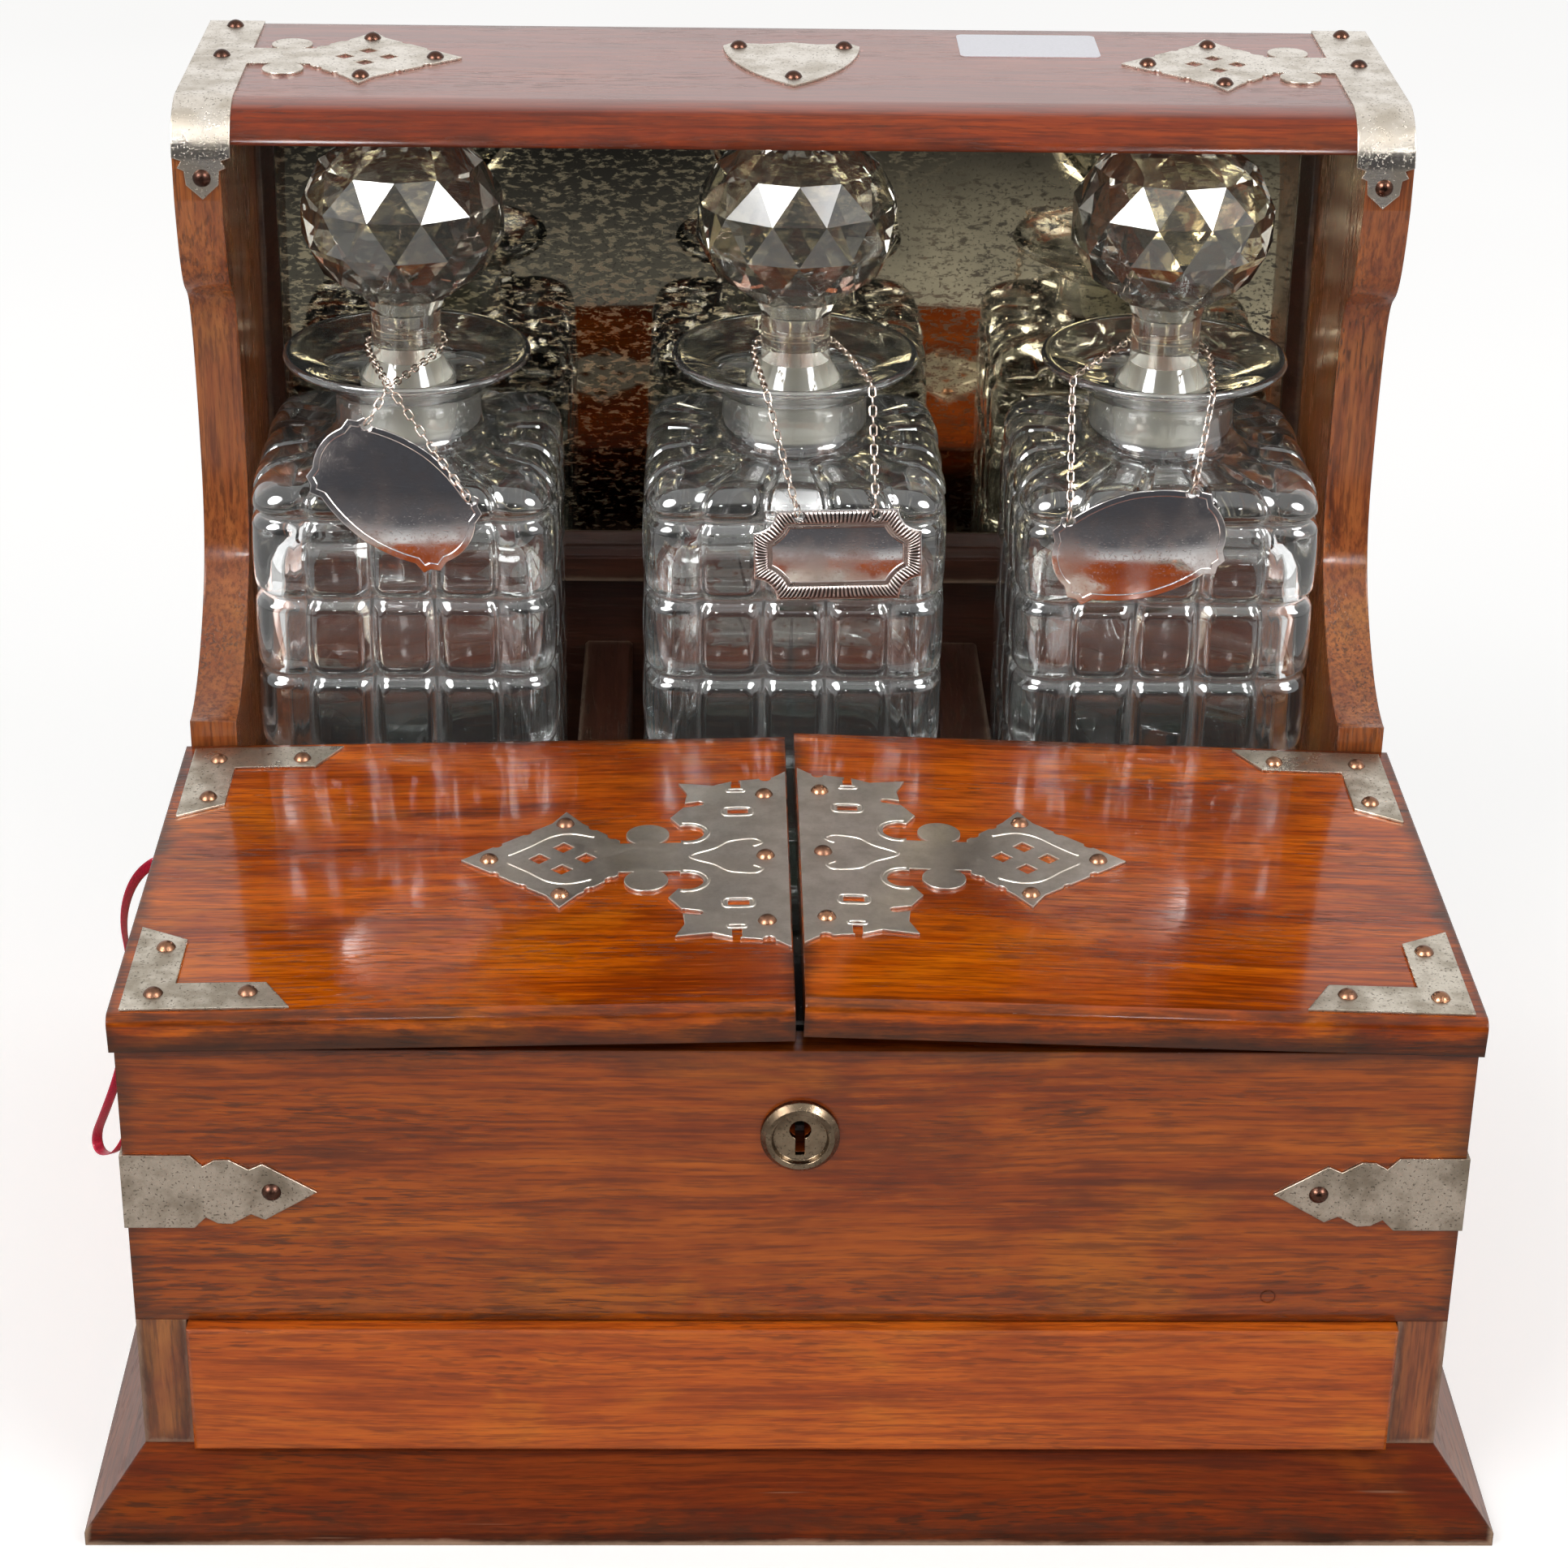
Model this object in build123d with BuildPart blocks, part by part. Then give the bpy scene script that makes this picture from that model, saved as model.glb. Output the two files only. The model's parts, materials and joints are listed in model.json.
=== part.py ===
"""A three-bottle oak tantalus: case with a drawer, twin lids, mirror back and cut-glass decanters."""

from build123d import *
from math import cos, pi, radians, sin, tan
import os

os.makedirs("parts", exist_ok=True)

# ---------------------------------------------------------------- driving sizes, mm
plinth_w = 370.0
plinth_d = 290.0
plinth_h = 22.0
plinth_lip = 4.0
plinth_run = 15.0
plinth_rail = 29.0

plinth_side = 15.0
case_half = plinth_w / 2 - plinth_side
case_front = -130.0
case_back = plinth_d / 2
side_t = 13.0
joint_z = 61.0
lid_joint_z = 142.0
canopy_top = 327.5
canopy_t = 10.0
front_t = 10.0
deck_t = 6.0
back_t = 8.0

inner_half = case_half - side_t
panel_back = case_front + front_t
back_face = case_back - back_t
canopy_under = canopy_top - canopy_t
deck_top = joint_z + deck_t

nose_r = 14.0
nose_front = 54.0
nose_end_z = canopy_top - 25.5
foot_front = 21.4
foot_z = lid_joint_z + 17.5

hinge_out = 1.2
hinge_x = case_half + hinge_out
knuckle_r = 1.8
pin_r = 0.8
pin_gap = 0.05
leaf_t = 0.8
leaf_w = 11.2
hinge_len = 24.0
knuckle_gap = 0.15
hinge_ys = (-95.0, -12.0)

lid_t = 10.0
lid_under = 0.15
lid_front = -132.0
lid_rear = 20.6
lid_split = 0.9
lid_inner = hinge_x - lid_split
lid_ajar = {"left": 1.33, "right": 1.76}
plate_t = 0.8

drawer_fit = 0.4
drawer_half = inner_half - drawer_fit
drawer_floor = 22.6
drawer_top = 60.6
drawer_proud = 4.5
drawer_front_t = 12.0
drawer_side_t = 8.0
drawer_rear = 101.0
drawer_bottom_t = 4.0
drawer_side_top = 58.0

pad_t = 1.0
divider_x = 54.5
divider_t = 15.0
divider_top = lid_joint_z - 9.0
divider_front = 27.0

decanter_xs = {"left": -110.0, "middle": 1.5, "right": 108.0}
decanter_y = 80.0
decanter_w = 88.0
glass_foot = deck_top + pad_t
shoulder_top = 225.0
neck_r = 21.0
bore_r = 13.0
lip_r = 35.5
lip_top = 251.0
hob_pitch = 19.3
hob_rise = 24.2
ball_r = 29.5
ball_rise = 25.5
ball_z = 290.5
stem_r = 10.0
plug_gap = 0.1

rivet_r = 2.5
rivet_h = 1.7

SIDES = {"left": -1, "right": 1}

# ---------------------------------------------------------------- repeated small stampings

# one domed rivet head standing on z = 0
dome_r = (rivet_r**2 + rivet_h**2) / (2 * rivet_h)
with BuildPart() as rivet:
    with Locations((0, 0, rivet_h - dome_r)):
        Sphere(dome_r)
    split(bisect_by=Plane.XY)

# the pierced diamond stamping: tip along +X, neck and round lobes toward -X
finial_tip = 27.0
finial_half = 27.2
with BuildSketch() as finial:
    with BuildLine():
        Polyline(
            (finial_tip, 0),
            (3.6, 20.4),
            (0, finial_half),
            (-4.6, 20.2),
            (-15, 9.6),
            (-15, -9.6),
            (-4.6, -20.2),
            (0, -finial_half),
            (3.6, -20.4),
            close=True,
        )
    make_face()
    with Locations((-25, 0)):
        Rectangle(24, 16)
    with Locations((-22.4, 12.9), (-22.4, -12.9)):
        Circle(5.8)
    with Locations((6.2, 0), (-6.2, 0), (0, 6.2), (0, -6.2)):
        Rectangle(4.2, 4.2, rotation=45, mode=Mode.SUBTRACT)
    for way in (-1, 1):
        with Locations((18.2, way * 8.6), (10.6, way * 15.6)):
            Circle(1.7, mode=Mode.SUBTRACT)
        with Locations((-8.2, way * 18.0), (-13.4, way * 12.6)):
            Circle(1.9, mode=Mode.SUBTRACT)

# half of the plate that bridges the two lids: x runs outward from the split between the lids
strap_rise = 49.8
with BuildSketch() as bridge_half:
    with BuildLine():
        Polyline(
            (0.4, strap_rise),
            (3.9, 46.4),
            (9.5, 45.2),
            (14.9, 44.4),
            (20.5, 41.8),
            (30.0, 43.4),
            (27.6, 37.0),
            (28.4, 29.0),
            (32.0, 22.6),
            (29.0, 17.0),
            (29.0, -17.0),
            (32.0, -22.6),
            (28.4, -29.0),
            (27.6, -37.0),
            (30.0, -43.4),
            (20.5, -41.8),
            (14.9, -44.4),
            (9.5, -45.2),
            (3.9, -46.4),
            (0.4, -strap_rise),
            close=True,
        )
    make_face()
    for way in (-1, 1):
        with Locations((27.4, way * 13.6)):
            Circle(4.6, mode=Mode.SUBTRACT)
        with Locations((26.2, way * 30.6)):
            SlotOverall(6.6, 2.8, rotation=-way * 14, mode=Mode.SUBTRACT)
        with Locations((14.2, way * 41.4)):
            SlotOverall(7.0, 2.6, rotation=90, mode=Mode.SUBTRACT)
        with Locations((6.0, way * 45.8)):
            Circle(1.7, mode=Mode.SUBTRACT)
        with Locations((13.7, way * 26.0)):
            Rectangle(5.6, 2.8, mode=Mode.SUBTRACT)

# the cramp that wraps a front corner: x runs along the face away from the corner
cramp_half = 10.8
cramp_tip = 48.5
with BuildSketch() as cramp:
    with BuildLine():
        Polyline(
            (-plate_t, cramp_half),
            (17.0, cramp_half),
            (20.0, 7.6),
            (23.0, 9.4),
            (26.5, 9.6),
            (31.5, 6.6),
            (35.0, 8.3),
            (cramp_tip, 0),
            (35.0, -8.3),
            (31.5, -6.6),
            (26.5, -9.6),
            (23.0, -9.4),
            (20.0, -7.6),
            (17.0, -cramp_half),
            (-plate_t, -cramp_half),
            close=True,
        )
    make_face()

# ---------------------------------------------------------------- plinth

plinth_section = [
    (-plinth_d / 2, 0),
    (-plinth_d / 2, plinth_lip),
    (-plinth_d / 2 + plinth_run, plinth_h),
    (-plinth_d / 2 + plinth_rail, plinth_h),
    (-plinth_d / 2 + plinth_rail, 0),
]
rail_half = plinth_w / 2 - plinth_rail
rail_front = -plinth_d / 2 + plinth_rail

with BuildPart() as plinth_front:
    with BuildSketch(Plane.YZ):
        with BuildLine():
            Polyline(*plinth_section, close=True)
        make_face()
    extrude(amount=plinth_w / 2, both=True)
    with BuildSketch():
        with BuildLine():
            Polyline(
                (-plinth_w / 2, -plinth_d / 2),
                (plinth_w / 2, -plinth_d / 2),
                (rail_half, rail_front),
                (-rail_half, rail_front),
                close=True,
            )
        make_face()
    extrude(amount=plinth_h, mode=Mode.INTERSECT)
plinth_front.part.label = "plinth_front"
export_step(plinth_front.part, "parts/plinth_front.step")

with BuildPart() as plinth_sides:
    with BuildSketch(Plane.XZ):
        with BuildLine():
            Polyline(*[(y - (plinth_w - plinth_d) / 2, z) for y, z in plinth_section], close=True)
        make_face()
    extrude(amount=plinth_d / 2, both=True)
    with BuildSketch():
        with BuildLine():
            Polyline(
                (-plinth_w / 2, -plinth_d / 2),
                (-rail_half, rail_front),
                (-rail_half, case_back),
                (-plinth_w / 2, case_back),
                close=True,
            )
        make_face()
    extrude(amount=plinth_h, mode=Mode.INTERSECT)
    mirror(about=Plane.YZ)
plinth_sides.part.label = "plinth_sides"
export_step(plinth_sides.part, "parts/plinth_sides.step")

back_rail_d = 14.0
with BuildPart() as plinth_back:
    with BuildSketch():
        with Locations((0, case_back - back_rail_d / 2)):
            Rectangle(2 * rail_half, back_rail_d)
    extrude(amount=plinth_h)
plinth_back.part.label = "plinth_back"
export_step(plinth_back.part, "parts/plinth_back.step")

base_t = 8.0
with BuildPart() as base_board:
    with BuildSketch(Plane.XY.offset(plinth_h - base_t)):
        with Locations((0, (rail_front + case_back - back_rail_d) / 2)):
            Rectangle(2 * rail_half, case_back - back_rail_d - rail_front)
    extrude(amount=base_t)
base_board.part.label = "base_board"
export_step(base_board.part, "parts/base_board.step")

# ---------------------------------------------------------------- side boards with their swept cheeks

for name, side in SIDES.items():
    with BuildPart() as side_board:
        with BuildSketch(Plane.YZ.offset(side * inner_half)):
            with BuildLine():
                Polyline((nose_front + nose_r, canopy_top), (case_back, canopy_top), (case_back, plinth_h))
                Polyline(
                    (case_back, plinth_h),
                    (case_front, plinth_h),
                    (case_front, joint_z),
                    (panel_back, joint_z),
                    (panel_back, lid_joint_z),
                    (foot_front, lid_joint_z),
                    (foot_front, foot_z),
                    (foot_front + 2.6, foot_z),
                )
                Spline(
                    (foot_front + 2.6, foot_z),
                    (46, foot_z + 8.5),
                    (66, foot_z + 28.5),
                    (73.5, nose_end_z - 74),
                    (68, nose_end_z - 32),
                    (nose_front, nose_end_z),
                    tangents=[(1, 0.12), (-0.12, 1)],
                )
                Line((nose_front, nose_end_z), (nose_front, canopy_top - nose_r))
                RadiusArc((nose_front, canopy_top - nose_r), (nose_front + nose_r, canopy_top), nose_r)
            make_face()
        extrude(amount=side * side_t)
        with Locations(*[(side * hinge_x, y, lid_joint_z) for y in hinge_ys]):
            Box(4.0, hinge_len + 1.0, 4.4, mode=Mode.SUBTRACT)
        with Locations(*[(side * (hinge_x - leaf_w / 2), y, lid_joint_z) for y in hinge_ys]):
            Box(leaf_w, hinge_len + 0.4, 2 * leaf_t, mode=Mode.SUBTRACT)
    side_board.part.label = f"side_{name}"
    export_step(side_board.part, f"parts/side_{name}.step")

# ---------------------------------------------------------------- front panel, deck, back, canopy

keyhole_x = 0.6
keyhole_z = lid_joint_z - 22.1
escutcheon_z = keyhole_z - 2.1
key_r = 2.75
key_slot_w = 2.4
key_slot_end = keyhole_z - 7.3

with BuildSketch() as keyhole:
    with Locations((keyhole_x, keyhole_z)):
        Circle(key_r)
    with Locations((keyhole_x, (keyhole_z + key_slot_end) / 2)):
        Rectangle(key_slot_w, keyhole_z - key_slot_end)

wood_plug_x = 122.5
wood_plug_z = 68.7
with BuildPart() as front_panel:
    with BuildSketch(Plane.XZ.offset(-case_front - front_t)):
        with Locations((0, (joint_z + lid_joint_z) / 2)):
            Rectangle(2 * case_half, lid_joint_z - joint_z)
        add(keyhole.sketch, mode=Mode.SUBTRACT)
    extrude(amount=front_t)
    with BuildSketch(Plane.XZ.offset(-case_front)):
        with Locations((wood_plug_x, wood_plug_z)):
            Circle(2.0)
            Circle(1.7, mode=Mode.SUBTRACT)
    extrude(amount=-0.3, mode=Mode.SUBTRACT)
front_panel.part.label = "front_panel"
export_step(front_panel.part, "parts/front_panel.step")

pin_x = 5.0 - inner_half
pin_y = -100.0
release_r = 2.0
release_fit = 0.05
with BuildPart() as deck_board:
    with BuildSketch(Plane.XY.offset(joint_z)):
        with Locations((0, (panel_back + back_face) / 2)):
            Rectangle(2 * inner_half, back_face - panel_back)
        with Locations((pin_x, pin_y)):
            Circle(release_r + release_fit, mode=Mode.SUBTRACT)
    extrude(amount=deck_t)
deck_board.part.label = "deck_board"
export_step(deck_board.part, "parts/deck_board.step")

with BuildPart() as back_panel:
    with BuildSketch(Plane.XZ.offset(-case_back)):
        with Locations((0, (plinth_h + canopy_under) / 2)):
            Rectangle(2 * inner_half, canopy_under - plinth_h)
    extrude(amount=back_t)
back_panel.part.label = "back_panel"
export_step(back_panel.part, "parts/back_panel.step")

nose_foot = nose_front + nose_r - (nose_r**2 - (nose_r - canopy_t) ** 2) ** 0.5
with BuildPart() as canopy_board:
    with BuildSketch(Plane.YZ):
        with BuildLine():
            Polyline(
                (nose_front + nose_r, canopy_top),
                (case_back, canopy_top),
                (case_back, canopy_under),
                (nose_foot, canopy_under),
            )
            RadiusArc((nose_foot, canopy_under), (nose_front + nose_r, canopy_top), nose_r)
        make_face()
    extrude(amount=inner_half, both=True)
canopy_board.part.label = "canopy_board"
export_step(canopy_board.part, "parts/canopy_board.step")

# ---------------------------------------------------------------- dividers and pads on the deck

centre_t = 8.0
centre_front = -104.0
centre_back = -25.0
centre_top = lid_joint_z - 24.0
with BuildPart() as dividers:
    with BuildSketch(Plane.XY.offset(deck_top)):
        with Locations(*[(x, (divider_front + back_face) / 2) for x in (-divider_x, divider_x)]):
            Rectangle(divider_t, back_face - divider_front)
    extrude(amount=divider_top - deck_top)
    chamfer(dividers.edges().filter_by(Axis.Y).group_by(Axis.Z)[-1], length=1.0)
    with BuildSketch(Plane.XY.offset(deck_top)):
        with Locations((0, (centre_front + centre_back) / 2)):
            Rectangle(centre_t, centre_back - centre_front)
    extrude(amount=centre_top - deck_top)
    low_top = dividers.edges().filter_by(Axis.X).filter_by_position(Axis.Z, centre_top - 0.1, centre_top + 0.1)
    fillet(low_top.sort_by(Axis.Y)[-1], radius=18)
dividers.part.label = "dividers"
export_step(dividers.part, "parts/dividers.step")

pad_gap = 0.5
well_inner = divider_x - divider_t / 2
with BuildPart() as baize_pads:
    with BuildSketch(Plane.XY.offset(deck_top)):
        pad_d = back_face - divider_front
        outer_w = inner_half - divider_x - divider_t / 2
        with Locations((0, divider_front + pad_d / 2)):
            Rectangle(2 * well_inner - 2 * pad_gap, pad_d - 2 * pad_gap)
        with Locations(*[(s * (inner_half - outer_w / 2), divider_front + pad_d / 2) for s in (-1, 1)]):
            Rectangle(outer_w - 2 * pad_gap, pad_d - 2 * pad_gap)
    extrude(amount=pad_t)
baize_pads.part.label = "baize_pads"
export_step(baize_pads.part, "parts/baize_pads.step")

# ---------------------------------------------------------------- mirror and its mouldings

mirror_t = 3.0
mirror_foot = lid_joint_z + 30.0
mirror_fit = 0.5
mirror_half = inner_half - mirror_fit
with BuildPart() as mirror_glass:
    with BuildSketch(Plane.XZ.offset(-back_face)):
        with Locations((0, (mirror_foot + canopy_under - 0.5) / 2)):
            Rectangle(2 * mirror_half, canopy_under - 0.5 - mirror_foot)
    extrude(amount=mirror_t)
mirror_glass.part.label = "mirror_glass"
export_step(mirror_glass.part, "parts/mirror_glass.step")

bead_w = 5.0
bead_d = 6.0
with BuildPart() as mirror_beads:
    with BuildSketch(Plane.XY.offset(mirror_foot)):
        for side in SIDES.values():
            with BuildLine():
                Polyline(
                    (side * inner_half, back_face - mirror_t),
                    (side * inner_half, back_face - mirror_t - bead_d),
                    (side * (inner_half - 1.6), back_face - mirror_t - bead_d),
                    (side * (inner_half - bead_w), back_face - mirror_t - 1.2),
                    (side * (inner_half - bead_w), back_face - mirror_t),
                    close=True,
                )
            make_face()
    extrude(amount=canopy_under - mirror_foot)
mirror_beads.part.label = "mirror_beads"
export_step(mirror_beads.part, "parts/mirror_beads.step")

rail_foot = lid_joint_z + 15.0
rail_step = rail_foot + 8.0
rail_d = 8.0
groove = 0.7
with BuildPart() as mirror_rail:
    with BuildSketch(Plane.YZ):
        with BuildLine():
            Polyline(
                (back_face, rail_foot),
                (back_face - rail_d, rail_foot),
                (back_face - rail_d, rail_step),
                (back_face - rail_d + 1.5, rail_step),
                (back_face - rail_d + 2.2, rail_step + 2.2),
                (back_face - rail_d + 2.2 + groove, rail_step + 2.6),
                (back_face - rail_d + 2.6, rail_step + 3.2),
                (back_face - mirror_t - 0.8, mirror_foot),
                (back_face, mirror_foot),
                close=True,
            )
        make_face()
    extrude(amount=inner_half, both=True)
mirror_rail.part.label = "mirror_rail"
export_step(mirror_rail.part, "parts/mirror_rail.step")

# ---------------------------------------------------------------- canopy mounts

band_in = inner_half - 3.0
band_out = case_half
band_w = band_out - band_in
tongue_z = canopy_top - 24.9
finial_y = 107.0
canopy_finial_x = 121.0
with BuildPart() as canopy_straps:
    for side in SIDES.values():
        with BuildSketch(Plane.YZ.offset(side * band_in)):
            with BuildLine():
                Polyline(
                    (case_back, canopy_top),
                    (case_back, canopy_top + plate_t),
                    (nose_front + nose_r, canopy_top + plate_t),
                )
                RadiusArc(
                    (nose_front + nose_r, canopy_top + plate_t),
                    (nose_front - plate_t, canopy_top - nose_r),
                    -(nose_r + plate_t),
                )
                Polyline(
                    (nose_front - plate_t, canopy_top - nose_r),
                    (nose_front - plate_t, tongue_z),
                    (nose_front, tongue_z),
                    (nose_front, canopy_top - nose_r),
                )
                RadiusArc((nose_front, canopy_top - nose_r), (nose_front + nose_r, canopy_top), nose_r)
                Line((nose_front + nose_r, canopy_top), (case_back, canopy_top))
            make_face()
        extrude(amount=side * band_w)
        # the front end narrows to a pointed tongue
        with BuildSketch(Plane.XZ.offset(-nose_front + plate_t + 1.0)):
            middle = side * (band_in + band_w / 2)
            for way in (-1, 1):
                with BuildLine():
                    Polyline(
                        (middle + way * (band_w / 2 + 1.0), canopy_top - 12.9),
                        (middle + way * (band_w / 2 - 2.6), canopy_top - 14.1),
                        (middle + way * (band_w / 2 - 1.4), canopy_top - 16.1),
                        (middle + way * 4.8, canopy_top - 16.9),
                        (middle + way * 4.4, canopy_top - 20.9),
                        (middle, tongue_z),
                        (middle, tongue_z - 1.0),
                        (middle + way * (band_w / 2 + 1.0), tongue_z - 1.0),
                        close=True,
                    )
                make_face()
        extrude(amount=-(2 * plate_t + 1.5), mode=Mode.SUBTRACT)
        with BuildSketch(Plane.XY.offset(canopy_top)):
            with Locations((side * canopy_finial_x, finial_y)):
                add(finial.sketch, rotation=180 if side > 0 else 0)
        extrude(amount=plate_t)
canopy_straps.part.label = "canopy_straps"
export_step(canopy_straps.part, "parts/canopy_straps.step")

shield_front = 81.3
shield_back = 125.5
shield_half = 19.7
with BuildPart() as shield_plaque:
    with BuildSketch(Plane.XY.offset(canopy_top)):
        with BuildLine():
            Polyline(
                (-shield_half, shield_back - 3.2),
                (-shield_half + 2.6, shield_back),
                (-7.5, shield_back - 1.2),
                (0, shield_back + 1.0),
                (7.5, shield_back - 1.2),
                (shield_half - 2.6, shield_back),
                (shield_half, shield_back - 3.2),
            )
            ThreePointArc((shield_half, shield_back - 3.2), (14.2, 100.0), (0, shield_front))
            ThreePointArc((0, shield_front), (-14.2, 100.0), (-shield_half, shield_back - 3.2))
        make_face()
    extrude(amount=plate_t)
shield_plaque.part.label = "shield_plaque"
export_step(shield_plaque.part, "parts/shield_plaque.step")

paper_t = 0.2
with BuildPart() as paper_label:
    with BuildSketch(Plane.XY.offset(canopy_top)):
        with Locations((68.8, 127.4)):
            RectangleRounded(40.5, 23.8, 2.0)
    extrude(amount=paper_t)
paper_label.part.label = "paper_label"
export_step(paper_label.part, "parts/paper_label.step")

# ---------------------------------------------------------------- front corner cramps, escutcheon

cramp_z = lid_joint_z - 41.5
with BuildPart() as front_straps:
    for side in SIDES.values():
        with BuildSketch(Plane(origin=(side * case_half, case_front, cramp_z), x_dir=(-side, 0, 0),
                               z_dir=(0, side, 0))):
            add(cramp.sketch)
        extrude(amount=-side * plate_t)
        with BuildSketch(Plane(origin=(side * case_half, case_front, cramp_z), x_dir=(0, 1, 0),
                               z_dir=(1, 0, 0))):
            add(cramp.sketch)
        extrude(amount=side * plate_t)
front_straps.part.label = "front_straps"
export_step(front_straps.part, "parts/front_straps.step")

escutcheon_r = 10.0
escutcheon_h = 3.0
with BuildPart() as escutcheon:
    with BuildSketch(Plane.YZ.offset(keyhole_x)):
        with BuildLine():
            Polyline(
                (case_front, escutcheon_z),
                (case_front - 1.6, escutcheon_z),
                (case_front - 1.6, escutcheon_z + 6.7),
                (case_front - escutcheon_h, escutcheon_z + 7.3),
                (case_front - escutcheon_h, escutcheon_z + 8.6),
                (case_front - 1.4, escutcheon_z + escutcheon_r),
                (case_front, escutcheon_z + escutcheon_r),
                close=True,
            )
        make_face()
    revolve(axis=Axis((keyhole_x, case_front, escutcheon_z), (0, 1, 0)))
    with BuildSketch(Plane.XZ.offset(-case_front)):
        add(keyhole.sketch)
    extrude(amount=escutcheon_h + 1.0, mode=Mode.SUBTRACT)
escutcheon.part.label = "escutcheon"
export_step(escutcheon.part, "parts/escutcheon.step")

# rivets that hold the mounts fixed to the case and canopy
cramp_rivet = 37.0
with BuildPart() as case_rivets:
    for side in SIDES.values():
        middle = side * (band_in + band_w / 2)
        top = canopy_top + plate_t
        with Locations(
            (middle, finial_y, top),
            (middle, 139.5, top),
            (side * (canopy_finial_x - 19.5), finial_y, top),
            (side * canopy_finial_x, finial_y + 20.0, top),
            (side * canopy_finial_x, finial_y - 20.0, top),
            (side * 15.2, shield_back - 3.6, top),
        ):
            add(rivet.part)
        with Locations(Location((middle, nose_front - plate_t, canopy_top - 18.9), (90, 0, 0))):
            add(rivet.part)
        with Locations(Location((side * (case_half - cramp_rivet), case_front - plate_t, cramp_z), (90, 0, 0))):
            add(rivet.part)
        outer = Location((side * (case_half + plate_t), case_front + cramp_rivet, cramp_z), (0, side * 90, 0))
        with Locations(outer):
            add(rivet.part)
    with Locations((0, 90.0, canopy_top + plate_t)):
        add(rivet.part)
case_rivets.part.label = "case_rivets"
export_step(case_rivets.part, "parts/case_rivets.step")

# ---------------------------------------------------------------- lock inside the front

lock_half = 18.0
lock_foot = lid_joint_z - 40.0
lock_top = lid_joint_z - 4.0
lock_d = 12.0
pocket_half = 15.0
pocket_floor = lid_joint_z - 21.5
pocket_front = -118.2
pocket_back = -110.0
with BuildPart() as lock_case:
    with BuildSketch(Plane.XY.offset(lock_foot)):
        with Locations((0, panel_back + lock_d / 2)):
            Rectangle(2 * lock_half, lock_d)
    extrude(amount=lock_top - lock_foot)
    with BuildSketch(Plane.XY.offset(lock_top)):
        with Locations((0, (pocket_front + pocket_back) / 2)):
            Rectangle(2 * pocket_half, pocket_back - pocket_front)
    extrude(amount=-(lock_top - pocket_floor), mode=Mode.SUBTRACT)
    with BuildSketch(Plane.XZ.offset(-panel_back)):
        with Locations((keyhole_x, keyhole_z - 1.6)):
            Circle(4.2)
    extrude(amount=-5.0, mode=Mode.SUBTRACT)
lock_case.part.label = "lock_case"
export_step(lock_case.part, "parts/lock_case.step")

staple_in = hinge_x - 7.5
staple_t = 2.5
staple_d = 7.0
staple_y = -114.1
staple_len = 16.0
prong = 2.0
bolt_base_z = pocket_floor + 0.05
prong_z = lid_joint_z - 7.4
bolt_d = 2.4
bolt_travel = 4.0
bolt_gap = 0.9
# where each staple's nearer face hangs; a hook waits short of it and its upright stays clear as it slides
staple_faces = (staple_in - hinge_x, hinge_x - staple_in - staple_t)
bolt_left = staple_faces[0] - bolt_gap - bolt_travel - prong
bolt_right = staple_faces[1] + bolt_gap
with BuildPart() as lock_bolt:
    with Locations(((bolt_left + bolt_right) / 2, staple_y, bolt_base_z + 1.1)):
        Box(bolt_right - bolt_left, bolt_d, 2.2)
    for face_x in staple_faces:
        with Locations((face_x - bolt_gap - bolt_travel - prong / 2, staple_y, (bolt_base_z + prong_z + 1.0) / 2)):
            Box(prong, bolt_d, prong_z + 1.0 - bolt_base_z)
        with Locations((face_x - bolt_gap - bolt_travel / 2 - prong / 4, staple_y, prong_z)):
            Box(bolt_travel + prong / 2, prong, prong)
lock_bolt.part.label = "lock_bolt"
export_step(lock_bolt.part, "parts/lock_bolt.step")

# ---------------------------------------------------------------- lids, built about their own hinge lines

corner_inset = 3.0
corner_len = 42.0
corner_w = 12.5
corner_slant = 7.0
strap_y = -53.0
strap_finial = 60.4
knuckle_len = hinge_len / 3

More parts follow.
